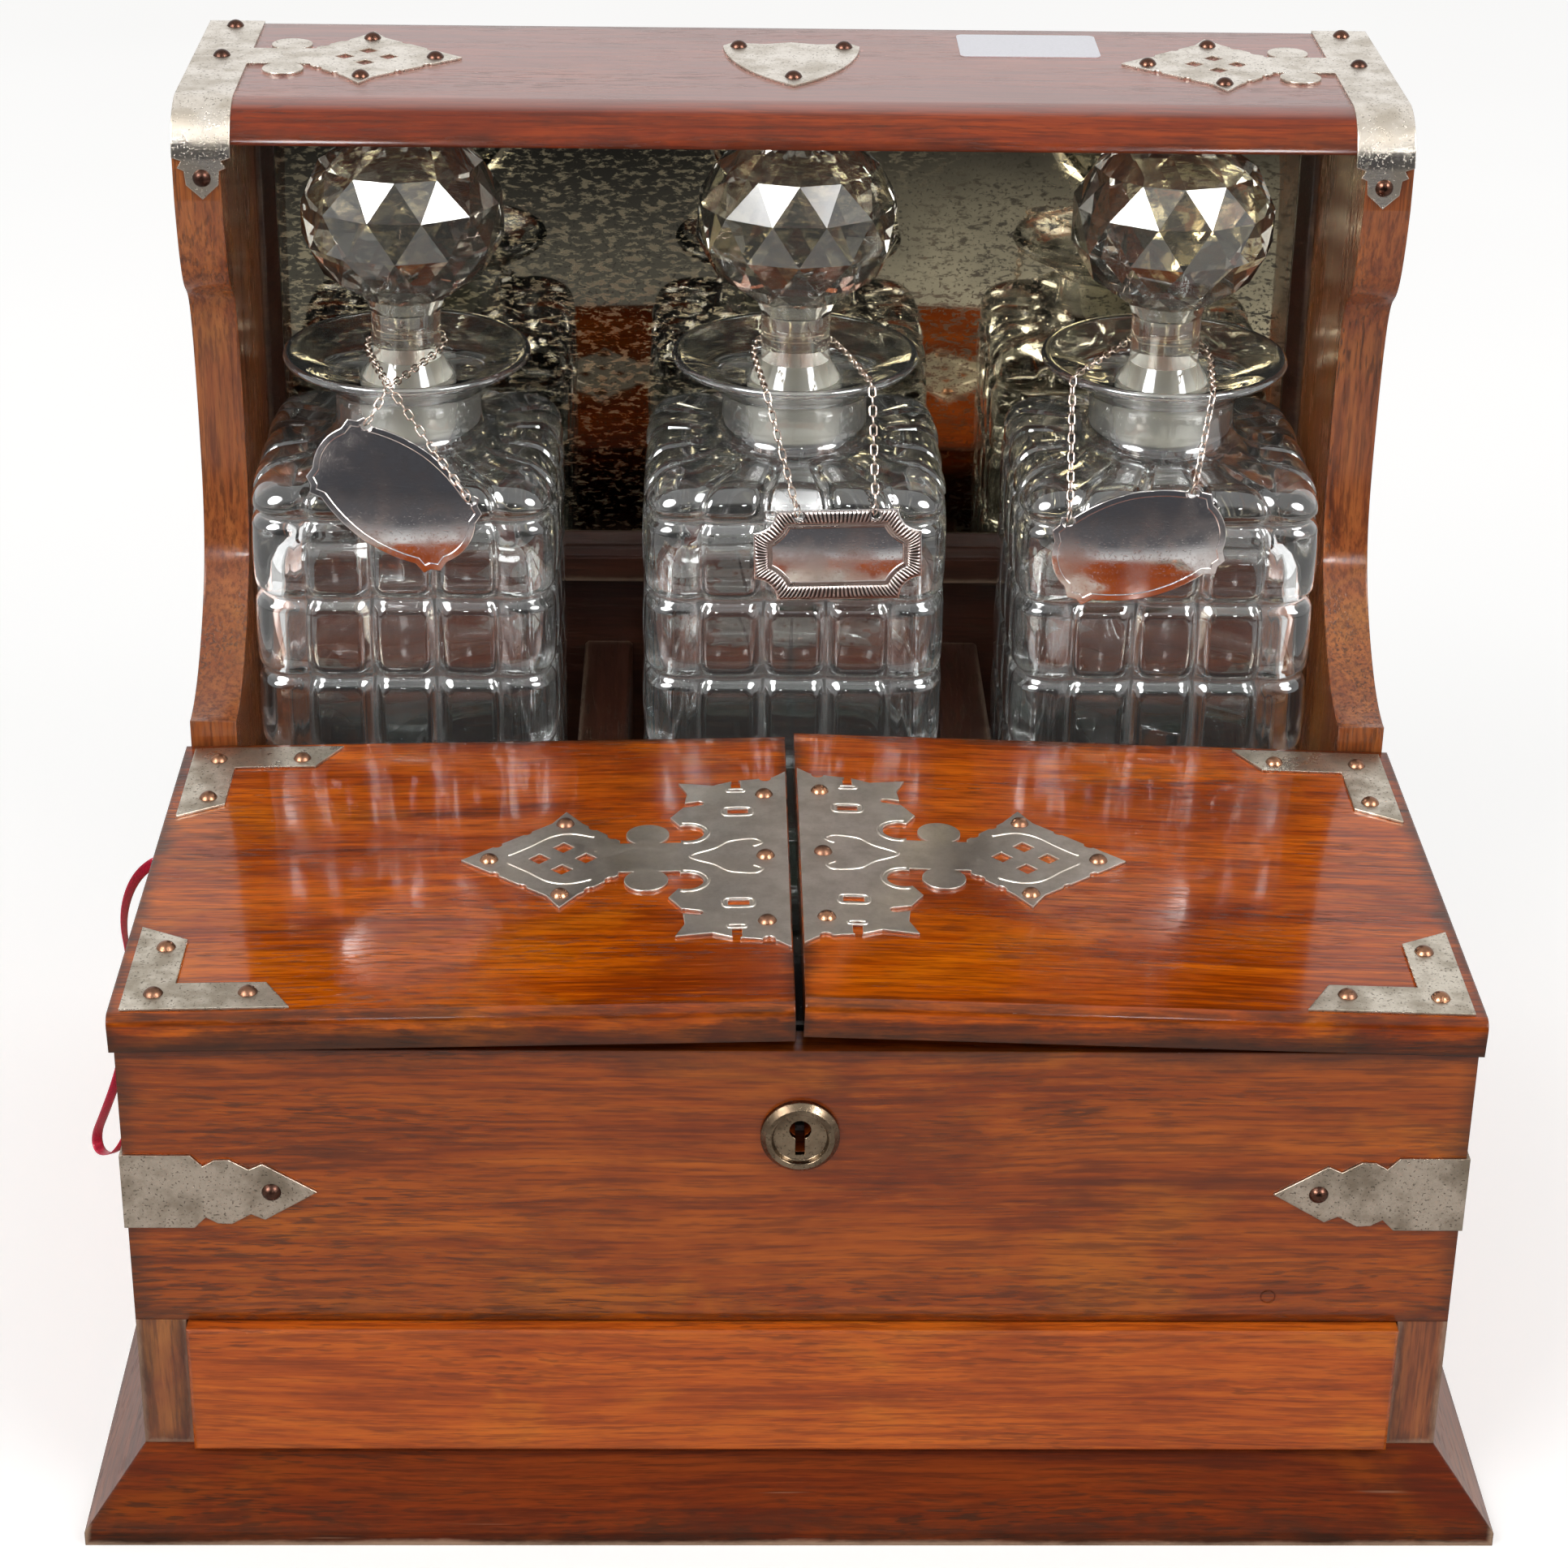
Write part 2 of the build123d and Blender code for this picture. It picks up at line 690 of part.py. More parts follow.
for name, side in SIDES.items():
    inward = -side
    ajar = radians(lid_ajar[name])
    hinge_plane = Plane(
        origin=(side * hinge_x, 0, lid_joint_z),
        x_dir=(cos(ajar), 0, inward * sin(ajar)),
        z_dir=(-inward * sin(ajar), 0, cos(ajar)),
    )
    lid_mid_u = (0.2 + lid_inner) / 2

    with BuildPart() as lid_board:
        with BuildSketch(hinge_plane.offset(lid_under)):
            with Locations((inward * lid_mid_u, (lid_front + lid_rear) / 2)):
                Rectangle(lid_inner - 0.2, lid_rear - lid_front)
        extrude(amount=lid_t - lid_under)
        fillet(lid_board.faces().sort_by(Axis.Y)[0].edges().sort_by(Axis.Z)[-1], radius=3.0)
        with Locations(hinge_plane.location):
            with Locations(*[(0, y, 0) for y in hinge_ys]):
                Box(4.4, hinge_len + 1.0, 4.4, mode=Mode.SUBTRACT)
            with Locations(*[(inward * (2.0 + leaf_w) / 2, y, 0) for y in hinge_ys]):
                Box(leaf_w - 2.0, hinge_len + 0.4, 2 * leaf_t, mode=Mode.SUBTRACT)
    lid_board.part.label = f"lid_board_{name}"
    export_step(lid_board.part, f"parts/lid_board_{name}.step")

    # L-shaped corner plates on the outer corners
    with BuildPart() as lid_corners:
        with BuildSketch(hinge_plane.offset(lid_t)):
            for edge_y, way in ((lid_front, 1), (lid_rear, -1)):
                with BuildLine():
                    Polyline(
                        *[
                            (inward * (0.2 + u), edge_y + way * v)
                            for u, v in (
                                (corner_inset, corner_inset),
                                (corner_inset + corner_len, corner_inset),
                                (corner_inset + corner_len - corner_slant, corner_inset + corner_w),
                                (corner_inset + corner_w, corner_inset + corner_w),
                                (corner_inset + corner_w, corner_inset + corner_len - corner_slant),
                                (corner_inset, corner_inset + corner_len),
                            )
                        ],
                        close=True,
                    )
                make_face()
        extrude(amount=plate_t)
    lid_corners.part.label = f"lid_corners_{name}"
    export_step(lid_corners.part, f"parts/lid_corners_{name}.step")

    # half bridge plate with its diamond finial
    with BuildPart() as lid_strap:
        with BuildSketch(hinge_plane.offset(lid_t)):
            with Locations(Location((inward * lid_inner, strap_y), 180 if inward > 0 else 0)):
                add(bridge_half.sketch)
            with Locations(Location((inward * (lid_inner - strap_finial), strap_y), 180 if inward > 0 else 0)):
                add(finial.sketch)
        extrude(amount=plate_t)
    lid_strap.part.label = f"lid_strap_{name}"
    export_step(lid_strap.part, f"parts/lid_strap_{name}.step")

    corner_rivets = [
        (inward * (0.2 + u), edge_y + way * v)
        for edge_y, way in ((lid_front, 1), (lid_rear, -1))
        for u, v in ((10.5, 10.5), (34.0, 10.5), (10.5, 34.0))
    ]
    strap_rivets = [
        (inward * (lid_inner - d), strap_y + v)
        for d, v in ((6.4, -36.0), (6.4, 0), (6.4, 36.0), (60.4, 20.0), (60.4, -20.0), (80.0, 0))
    ]
    with BuildPart() as lid_rivets:
        with Locations(hinge_plane.location):
            with Locations(*[(x, y, lid_t + plate_t) for x, y in corner_rivets + strap_rivets]):
                add(rivet.part)
    lid_rivets.part.label = f"lid_rivets_{name}"
    export_step(lid_rivets.part, f"parts/lid_rivets_{name}.step")

    # hinge leaf let into the lid, its single knuckle between the two fixed ones
    with BuildPart() as lid_leaves:
        with BuildSketch(Plane(origin=hinge_plane.origin, x_dir=hinge_plane.x_dir, z_dir=(0, -1, 0))):
            Circle(knuckle_r)
            with Locations((inward * 1.2, lid_under + (leaf_t - lid_under) / 2)):
                Rectangle(2.4, leaf_t - lid_under)
            Circle(pin_r + pin_gap, mode=Mode.SUBTRACT)
        extrude(amount=knuckle_len / 2 - knuckle_gap, both=True)
        with BuildSketch(hinge_plane.offset(lid_under)):
            with Locations((inward * (2.0 + leaf_w) / 2, 0)):
                Rectangle(leaf_w - 2.0, hinge_len)
        extrude(amount=leaf_t - lid_under)
    with BuildPart() as lid_hinges:
        with Locations(*[(0, y, 0) for y in hinge_ys]):
            add(lid_leaves.part)
    lid_hinges.part.label = f"lid_hinges_{name}"
    export_step(lid_hinges.part, f"parts/lid_hinges_{name}.step")

    # staple that drops into the lock
    staple_mid = inward * (staple_in + staple_t / 2)
    with BuildPart() as lid_staple:
        with BuildSketch(hinge_plane.offset(lid_under)):
            with Locations((staple_mid, staple_y)):
                Rectangle(staple_t, staple_d)
        extrude(amount=-staple_len)
        with Locations(hinge_plane.location):
            with Locations((staple_mid, staple_y, -10.0)):
                Box(staple_t + 1.0, 3.4, 8.0, mode=Mode.SUBTRACT)
    lid_staple.part.label = f"lid_staple_{name}"
    export_step(lid_staple.part, f"parts/lid_staple_{name}.step")

# fixed hinge leaves on the case and the pins they carry
with BuildPart() as case_hinge:
    with BuildSketch(Plane.XZ):
        with Locations((hinge_x, lid_joint_z)):
            Circle(knuckle_r)
        with Locations((hinge_x - 1.2, lid_joint_z - leaf_t / 2)):
            Rectangle(2.4, leaf_t)
        with Locations((hinge_x, lid_joint_z)):
            Circle(pin_r + pin_gap, mode=Mode.SUBTRACT)
    extrude(amount=hinge_len / 2, both=True)
    with Locations((hinge_x, 0, lid_joint_z)):
        Box(5.0, knuckle_len + knuckle_gap, 5.0, mode=Mode.SUBTRACT)
    with BuildSketch(Plane.XY.offset(lid_joint_z)):
        with Locations((hinge_x - (2.0 + leaf_w) / 2, 0)):
            Rectangle(leaf_w - 2.0, hinge_len)
    extrude(amount=-leaf_t)

with BuildPart() as hinge_case_leaves:
    for side in SIDES.values():
        turn = 0 if side > 0 else 180
        with Locations(*[Location((0, y, 0), (0, 0, turn)) for y in hinge_ys]):
            add(case_hinge.part)
hinge_case_leaves.part.label = "hinge_case_leaves"
export_step(hinge_case_leaves.part, "parts/hinge_case_leaves.step")

with BuildPart() as hinge_pins:
    with BuildSketch(Plane.XZ.offset(-hinge_ys[0] + hinge_len / 2)):
        with Locations(*[(s * hinge_x, lid_joint_z) for s in (-1, 1)]):
            Circle(pin_r)
    extrude(amount=-hinge_len)
    with BuildSketch(Plane.XZ.offset(-hinge_ys[1] + hinge_len / 2)):
        with Locations(*[(s * hinge_x, lid_joint_z) for s in (-1, 1)]):
            Circle(pin_r)
    extrude(amount=-hinge_len)
hinge_pins.part.label = "hinge_pins"
export_step(hinge_pins.part, "parts/hinge_pins.step")

# ---------------------------------------------------------------- drawer

drawer_face = case_front - drawer_proud
drawer_inside = drawer_face + drawer_front_t
with BuildPart() as drawer_front:
    with BuildSketch(Plane.XZ.offset(-drawer_inside)):
        with Locations((0, (drawer_floor + drawer_top) / 2)):
            Rectangle(2 * drawer_half, drawer_top - drawer_floor)
    extrude(amount=drawer_front_t)
    chamfer(drawer_front.faces().sort_by(Axis.Y)[0].edges(), length=0.8)
drawer_front.part.label = "drawer_front"
export_step(drawer_front.part, "parts/drawer_front.step")

drawer_side_len = drawer_rear - drawer_inside
pin_hole_r = 2.3
with BuildPart() as drawer_sides:
    with BuildSketch(Plane.XY.offset(drawer_floor)):
        with Locations(
            *[(s * (drawer_half - drawer_side_t / 2), drawer_inside + drawer_side_len / 2) for s in (-1, 1)]
        ):
            Rectangle(drawer_side_t, drawer_side_len)
    extrude(amount=drawer_side_top - drawer_floor)
    with BuildSketch(Plane.XY.offset(drawer_side_top)):
        with Locations((pin_x, pin_y)):
            Circle(pin_hole_r)
    extrude(amount=-8.0, mode=Mode.SUBTRACT)
drawer_sides.part.label = "drawer_sides"
export_step(drawer_sides.part, "parts/drawer_sides.step")

drawer_in_half = drawer_half - drawer_side_t
with BuildPart() as drawer_back:
    with BuildSketch(Plane.XY.offset(drawer_floor + drawer_bottom_t)):
        with Locations((0, drawer_rear - drawer_side_t / 2)):
            Rectangle(2 * drawer_in_half, drawer_side_t)
    extrude(amount=drawer_side_top - drawer_floor - drawer_bottom_t)
drawer_back.part.label = "drawer_back"
export_step(drawer_back.part, "parts/drawer_back.step")

with BuildPart() as drawer_bottom:
    with BuildSketch(Plane.XY.offset(drawer_floor)):
        with Locations((0, drawer_inside + drawer_side_len / 2)):
            Rectangle(2 * drawer_in_half, drawer_side_len)
    extrude(amount=drawer_bottom_t)
drawer_bottom.part.label = "drawer_bottom"
export_step(drawer_bottom.part, "parts/drawer_bottom.step")

# bowed steel leaf fixed on the back panel, just short of the drawer back
spring_w = 14.0
spring_t = 1.0
spring_gap = 0.3
spring_bow = back_face - drawer_rear - spring_gap
with BuildPart() as drawer_spring:
    with BuildSketch(Plane.XY.offset(36.0)):
        with BuildLine():
            Polyline((-60, back_face), (-44, back_face))
            ThreePointArc((-44, back_face), (0, back_face - spring_bow + spring_t), (44, back_face))
            Polyline((44, back_face), (60, back_face), (60, back_face - spring_t), (44, back_face - spring_t))
            ThreePointArc(
                (44, back_face - spring_t), (0, back_face - spring_bow), (-44, back_face - spring_t)
            )
            Polyline((-44, back_face - spring_t), (-60, back_face - spring_t), (-60, back_face))
        make_face()
    extrude(amount=spring_w)
drawer_spring.part.label = "drawer_spring"
export_step(drawer_spring.part, "parts/drawer_spring.step")

# ---------------------------------------------------------------- release pin

release_knob_r = 3.8
release_tip = drawer_side_top + 0.3
with BuildPart() as release_pin:
    with BuildSketch(Plane.XY.offset(release_tip)):
        with Locations((pin_x, pin_y)):
            Circle(release_r)
    extrude(amount=deck_top + 8.0 - release_tip)
    with BuildSketch(Plane.XY.offset(deck_top + 6.5)):
        with Locations((pin_x, pin_y)):
            Circle(release_knob_r)
    extrude(amount=4.0)
    fillet(release_pin.edges().filter_by(GeomType.CIRCLE).group_by(Axis.Z)[-1], radius=1.4)
release_pin.part.label = "release_pin"
export_step(release_pin.part, "parts/release_pin.step")

# ---------------------------------------------------------------- decanters

half_w = decanter_w / 2
corner_cut = 7.0
wall = 6.0
glass_floor = 9.0
groove_d = 1.6
groove_w = 3.2
hob_zs = [189.0 - hob_rise * k for k in range(5)]
hob_xs = [hob_pitch * (k - 1.5) for k in range(4)]
bore_foot = 214.0

with BuildPart() as decanter:
    with BuildSketch(Plane.XY.offset(glass_foot)):
        Rectangle(decanter_w, decanter_w)
        chamfer(vertices(), length=corner_cut)
    extrude(amount=shoulder_top - glass_foot)
    fillet(decanter.faces().sort_by(Axis.Z)[-1].edges(), radius=9.5)
    chamfer(decanter.faces().sort_by(Axis.Z)[0].edges(), length=1.5)
    # vertical mitre grooves on the four faces
    with BuildSketch(Plane.XY.offset(glass_foot)):
        for turn in (0, 90, 180, 270):
            with Locations(Location((0, 0), turn)):
                with Locations(*[(x, -half_w) for x in hob_xs]):
                    Rectangle(groove_w / 2**0.5, groove_w / 2**0.5, rotation=45)
    extrude(amount=212.0 - glass_foot, mode=Mode.SUBTRACT)
    # horizontal mitre grooves round the body
    for z in hob_zs:
        with BuildSketch(Plane.XY.offset(z - groove_w / 2)):
            Rectangle(decanter_w + 4, decanter_w + 4)
            Rectangle(decanter_w - 2 * groove_d, decanter_w - 2 * groove_d, mode=Mode.SUBTRACT)
        extrude(amount=groove_w, mode=Mode.SUBTRACT)
    # neck and flared lip
    with BuildSketch(Plane.XZ):
        with BuildLine():
            Polyline((0, bore_foot), (0, lip_top - 8.0), (bore_r, lip_top - 8.0))
            Line((bore_r, lip_top - 8.0), (lip_r - 1.2, lip_top))
            ThreePointArc((lip_r - 1.2, lip_top), (lip_r, lip_top - 1.2), (lip_r - 1.0, lip_top - 2.6))
            Bezier(
                (lip_r - 1.0, lip_top - 2.6),
                (neck_r + 6.0, lip_top - 7.0),
                (neck_r, lip_top - 9.0),
                (neck_r, lip_top - 15.0),
            )
            Polyline((neck_r, lip_top - 15.0), (neck_r, bore_foot), (0, bore_foot))
        make_face()
    revolve(axis=Axis.Z)
    # hollow for the spirit
    with BuildSketch(Plane.XY.offset(glass_foot + glass_floor)):
        RectangleRounded(decanter_w - 2 * wall, decanter_w - 2 * wall, 8.0)
    extrude(amount=bore_foot - glass_foot - glass_floor - 4.0, mode=Mode.SUBTRACT)
    with BuildSketch(Plane.XY.offset(bore_foot - 8.0)):
        Circle(bore_r)
    extrude(amount=lip_top - bore_foot + 8.0, mode=Mode.SUBTRACT)

for name, x in decanter_xs.items():
    with BuildPart() as placed:
        with Locations((x, decanter_y, 0)):
            add(decanter.part)
    placed.part.label = f"decanter_{name}"
    export_step(placed.part, f"parts/decanter_{name}.step")

# ---------------------------------------------------------------- stoppers with faceted balls

facet_count = 12
ring_angles = (-64.0, -38.5, -13.0, 13.0, 38.5, 64.0)


def ring_points(k, angle):
    """Return the corner points of one ring of facets; every other ring is turned half a step."""
    radius = ball_r * cos(radians(angle))
    z = ball_z + ball_rise * sin(radians(angle))
    step = 2 * pi / facet_count
    return [
        (radius * cos(step * (i + k / 2)), radius * sin(step * (i + k / 2)), z) for i in range(facet_count)
    ]


rings = [ring_points(k, angle) for k, angle in enumerate(ring_angles)]
triangles = [rings[0], rings[-1]]
for k, (low, high) in enumerate(zip(rings, rings[1:])):
    for i in range(facet_count):
        j = (i + 1) % facet_count
        triangles.append([low[i], low[j], high[i]])
        triangles.append([low[j], high[j], high[i]])
ball = Solid(Shell([Face(Wire.make_polygon(points, close=True)) for points in triangles]))

plug_top = lip_top - 8.0
plug_foot = 226.0
flare_h = 6.0
ball_foot = ball_z + ball_rise * sin(radians(ring_angles[0]))
collar_h = 4.6
collar_r = stem_r + 2.0
with BuildPart() as stopper:
    add(ball)
    with BuildSketch(Plane.XY.offset(plug_foot)):
        Circle(bore_r - plug_gap)
    extrude(amount=plug_top - plug_foot)
    chamfer(stopper.edges().filter_by(GeomType.CIRCLE).group_by(Axis.Z)[0], length=1.0)
    with BuildSketch(Plane.XY.offset(plug_top)):
        Circle(stem_r)
    extrude(amount=ball_z - ball_rise / 2 - plug_top)
    with Locations((0, 0, plug_top)):
        Cone(bore_r - plug_gap, stem_r, flare_h, align=(Align.CENTER, Align.CENTER, Align.MIN))
    with Locations((0, 0, ball_foot - collar_h)):
        Cone(stem_r, collar_r, collar_h, align=(Align.CENTER, Align.CENTER, Align.MIN))

for name, x in decanter_xs.items():
    with BuildPart() as placed:
        with Locations((x, decanter_y, 0)):
            add(stopper.part)
    placed.part.label = f"stopper_{name}"
    export_step(placed.part, f"parts/stopper_{name}.step")

# ---------------------------------------------------------------- bottle labels and their chains

label_t = 0.5
label_rim_h = 0.25
label_rim_w = 1.7
hole_r = 1.3
ring_r = 1.9
ring_wire = 0.22
ring_turn = 24.0
chain_r = 0.6
chain_stand = 2.2

with BuildPart() as jump_ring:
    Torus(ring_r, ring_wire)

# an oval cartouche with a pair of small points at each corner
with BuildSketch() as cartouche:
    with BuildLine():
        ThreePointArc((0, 15.6), (8.4, 14.7), (16.0, 12.5))
        Polyline((16.0, 12.5), (19.4, 13.3), (20.4, 11.3), (22.8, 10.1), (22.8, 6.8))
        ThreePointArc((22.8, 6.8), (24.3, 3.6), (24.8, 0))
        mirror(about=Plane.YZ)
        mirror(about=Plane.XZ)
    make_face()

# an oblong plate with hollow-cut corners
oblong_w = 47.4
oblong_h = 26.4
oblong_cut = 6.4
with BuildSketch() as oblong:
    Rectangle(oblong_w, oblong_h)
    with Locations(*[(sx * oblong_w / 2, sy * oblong_h / 2) for sx in (-1, 1) for sy in (-1, 1)]):
        Circle(oblong_cut, mode=Mode.SUBTRACT)

# shape, centre, tilt from level and lean back, then the two chain holes in the plate
labels = {
    "left": (cartouche, (-111.0, 34.6, 223.5), -36.0, 9.0, (17.7, 11.6)),
    "middle": (oblong, (13.2, 33.3, 207.0), 1.6, 4.0, (10.8, 11.6)),
    "right": (cartouche, (98.0, 33.2, 210.3), 14.0, 5.0, (17.7, 11.6)),
}
lip_over = 1.8
wrap_side = stem_r + 3.0
wrap_rear = stem_r + 2.0
wrap_half = 0.7 * stem_r
wrap_z = lip_top + 1.4
rim_bend = 5.0
wrap_bend = 5.5
rim_cross = {"left": (-2.5, -2.5), "middle": (-9.0, 20.9), "right": (-28.7, 9.6)}


def rim_point(name, offset, lift):
    """Return the point where a chain bends over the front of the lip, offset sideways from the neck."""
    reach = lip_r + lip_over + lift
    return Vector(
        decanter_xs[name] + offset,
        decanter_y - (reach**2 - offset**2) ** 0.5,
        lip_top + 1.2 + lift,
    )


for name, (outline, centre, tilt, lean, hole) in labels.items():
    tilt_r = radians(tilt)
    lean_r = radians(lean)
    plate = Plane(
        origin=centre,
        x_dir=(cos(tilt_r), sin(tilt_r) * sin(lean_r), sin(tilt_r) * cos(lean_r)),
        z_dir=(0, -cos(lean_r), sin(lean_r)),
    )
    with BuildPart() as bottle_label:
        with BuildSketch(plate.offset(-label_t)):
            add(outline.sketch)
            with Locations((-hole[0], hole[1]), hole):
                Circle(hole_r, mode=Mode.SUBTRACT)
        extrude(amount=label_t)
        with BuildSketch(plate):
            add(outline.sketch)
            offset(amount=-label_rim_w, mode=Mode.SUBTRACT, kind=Kind.INTERSECTION)
            with Locations((-hole[0], hole[1]), hole):
                Circle(hole_r + 0.5, mode=Mode.SUBTRACT)
        extrude(amount=label_rim_h)
    bottle_label.part.label = f"label_{name}"
    export_step(bottle_label.part, f"parts/label_{name}.step")

    holes = [plate.offset(-label_t / 2).from_local_coords(Vector(x, hole[1], 0)) for x in (-hole[0], hole[0])]
    crossed = name == "left"
    rims = [rim_point(name, rim_cross[name][0], 0), rim_point(name, rim_cross[name][1], 2.3 if crossed else 0)]
    first_way = 1 if crossed else -1
    wraps = [
        Vector(decanter_xs[name] + first_way * x, decanter_y + y, wrap_z)
        for x, y in ((wrap_side, 1.0), (wrap_half, wrap_rear), (-wrap_half, wrap_rear), (-wrap_side, 1.0))
    ]
    ways = [(rim - point).normalized() for point, rim in zip(holes, rims)]
    stand = plate.z_dir * chain_stand
    ends = [point + way * 2 * ring_r + stand for point, way in zip(holes, ways)]

    # the chain is a plain round run here, with a jump ring through each hole
    with BuildPart() as chain:
        with BuildLine() as route:
            FilletPolyline(
                ends[0], rims[0], *wraps, rims[1], ends[1],
                radius=[rim_bend, *[wrap_bend] * len(wraps), rim_bend],
            )
        with BuildSketch(Plane(origin=ends[0], z_dir=route.wires()[0].tangent_at(0))):
            Circle(chain_r)
        sweep()
        for point, end, way in zip(holes, ends, ways):
            up = (end - point).normalized()
            through = (plate.z_dir - up * plate.z_dir.dot(up)).normalized()
            turn = radians(ring_turn)
            normal = up.cross(through) * cos(turn) + through * sin(turn)
            with Locations(Plane(origin=point + up * ring_r, x_dir=up, z_dir=normal).location):
                add(jump_ring.part)
    chain.part.label = f"chain_{name}"
    export_step(chain.part, f"parts/chain_{name}.step")

# ---------------------------------------------------------------- carrying handles

handle_x = case_half + 6.0
handle_z = 112.0
rod_r = 2.0
rod_gap = 0.05
eye_d = 5.0
eye_w = 8.0
eye_h = 10.0
eye_ys = (-32.5, 44.5)
arm_in = 5.2
bail_drop = 28.0
rose_r = 7.0
rose_t = 1.2

with BuildPart() as handle_posts:
    for side in SIDES.values():
        with BuildSketch(Plane.YZ.offset(side * case_half)):
            with Locations(*[(y, handle_z) for y in eye_ys]):
                Circle(rose_r)
        extrude(amount=side * rose_t)
        with Locations(*[(side * handle_x, y, handle_z) for y in eye_ys]):
            Box(eye_w, eye_d, eye_h)
        with BuildSketch(Plane.YZ.offset(side * case_half)):
            with Locations(*[(y, handle_z) for y in eye_ys]):
                Circle(2.4)
        extrude(amount=side * (handle_x - case_half - eye_w / 2))
        with BuildSketch(Plane.XZ):
            with Locations((side * handle_x, handle_z)):
                Circle(rod_r + rod_gap)
        extrude(amount=60.0, both=True, mode=Mode.SUBTRACT)
handle_posts.part.label = "handle_posts"
export_step(handle_posts.part, "parts/handle_posts.step")

for name, side in SIDES.items():
    x = side * handle_x
    with BuildPart() as bail:
        with BuildLine():
            FilletPolyline(
                (x, eye_ys[0] - eye_d / 2, handle_z),
                (x, eye_ys[0] + arm_in, handle_z),
                (x, eye_ys[0] + arm_in, handle_z - bail_drop),
                (x, eye_ys[1] - arm_in, handle_z - bail_drop),
                (x, eye_ys[1] - arm_in, handle_z),
                (x, eye_ys[1] + eye_d / 2, handle_z),
                radius=[2.3, 9.0, 9.0, 2.3],
            )
        with BuildSketch(Plane.XZ.offset(-eye_ys[0] + eye_d / 2)):
            with Locations((x, handle_z)):
                Circle(rod_r)
        sweep()
    bail.part.label = f"handle_bail_{name}"
    export_step(bail.part, f"parts/handle_bail_{name}.step")

# ---------------------------------------------------------------- ribbon tied to the left handle, and its key

ribbon_r = 0.8
post_top = handle_z + eye_h / 2
key_x = -handle_x
key_y = -58.0
key_top = 64.0
key_t = 2.0
bow_r = 7.0
ribbon_route = [
    (-handle_x - 0.5, -32.5, post_top),
    (-handle_x - 0.5, -32.5, 124.5),
    (-175.6, -12.0, 129.0),
    (-178.0, 1.0, 126.5),
    (-184.2, -8.0, 124.5),
    (-184.6, -28.0, 122.5),
    (-179.2, -48.0, 119.0),
    (-176.6, -70.0, 115.5),
    (-177.0, -89.0, 110.0),
    (-181.5, -88.0, 98.0),
    (-186.6, -79.0, 84.5),
    (-184.6, -83.0, 81.0),
    (-178.2, -91.0, 87.0),
    (-175.8, -82.0, 92.0),
    (key_x, -66.0, 86.0),
    (key_x, key_y, 76.0),
    (key_x, key_y, key_top),
]


def bend_radii(points):
    """Return a bend radius for each inner corner, from its shorter run and half its turn."""
    radii = []
    for a, b, c in zip(points, points[1:], points[2:]):
        before = Vector(*b) - Vector(*a)
        after = Vector(*c) - Vector(*b)
        half_turn = radians(before.get_angle(after)) / 2
        radii.append(0.45 * min(before.length, after.length) / tan(half_turn))
    return radii


with BuildPart() as ribbon:
    with BuildLine() as ribbon_line:
        FilletPolyline(*ribbon_route, radius=bend_radii(ribbon_route))
    with BuildSketch(Plane(origin=ribbon_route[0], z_dir=ribbon_line.wires()[0].tangent_at(0))):
        Circle(ribbon_r)
    sweep()
ribbon.part.label = "ribbon"
export_step(ribbon.part, "parts/ribbon.step")

with BuildPart() as key:
    with BuildSketch(Plane.YZ.offset(key_x - key_t / 2)):
        with Locations((key_y, key_top - bow_r)):
            Circle(bow_r)
            Circle(bow_r - 2.4, mode=Mode.SUBTRACT)
        with Locations((key_y, key_top - 0.6)):
            Rectangle(4.0, 1.2)
        with Locations((key_y + 3.0, 31.0)):
            Rectangle(5.0, 6.0)
    extrude(amount=key_t)
    with BuildSketch(Plane.XY.offset(key_top - 2 * bow_r + 0.6)):
        with Locations((key_x, key_y)):
            Circle(1.6)
    extrude(amount=-22.6)
key.part.label = "key"
export_step(key.part, "parts/key.step")
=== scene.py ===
"""A tantalus: an oak case with a mirror back, three cut decanters held by two lids, and a sprung drawer."""

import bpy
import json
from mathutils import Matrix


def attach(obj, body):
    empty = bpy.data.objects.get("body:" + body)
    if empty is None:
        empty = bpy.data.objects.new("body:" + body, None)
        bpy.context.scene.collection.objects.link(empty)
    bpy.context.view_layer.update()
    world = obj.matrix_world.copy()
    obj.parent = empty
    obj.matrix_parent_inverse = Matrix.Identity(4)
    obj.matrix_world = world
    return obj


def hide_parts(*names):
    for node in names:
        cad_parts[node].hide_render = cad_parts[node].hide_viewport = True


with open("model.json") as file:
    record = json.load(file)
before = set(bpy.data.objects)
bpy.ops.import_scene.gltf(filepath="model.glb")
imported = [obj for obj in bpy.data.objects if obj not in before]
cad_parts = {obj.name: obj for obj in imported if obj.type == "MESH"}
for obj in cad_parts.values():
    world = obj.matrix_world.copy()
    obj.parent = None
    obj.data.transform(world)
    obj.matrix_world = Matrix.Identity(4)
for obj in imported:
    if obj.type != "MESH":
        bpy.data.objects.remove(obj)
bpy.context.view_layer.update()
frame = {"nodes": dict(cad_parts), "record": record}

import json
import logging
import math
from dataclasses import dataclass
from enum import Enum
from typing import Any

import bpy
import numpy as np
from mathutils import Matrix, Vector

LOG = logging.getLogger("tantalus")
MM = 0.001
Colour = tuple[float, float, float]
JOINTS = {joint["name"]: joint for joint in frame["record"]["behaviour"]["joints"]}
LID_AJAR = {"left": 1.33, "right": 1.76}  # degrees by which each lid stands open at rest
SIDES = {"left": -1, "right": 1}


class Grain(Enum):
    """The axis that a board's grain runs along."""

    ACROSS = 0
    DEEP = 1
    UPRIGHT = 2


# ---------------------------------------------------------------- meshes from arrays


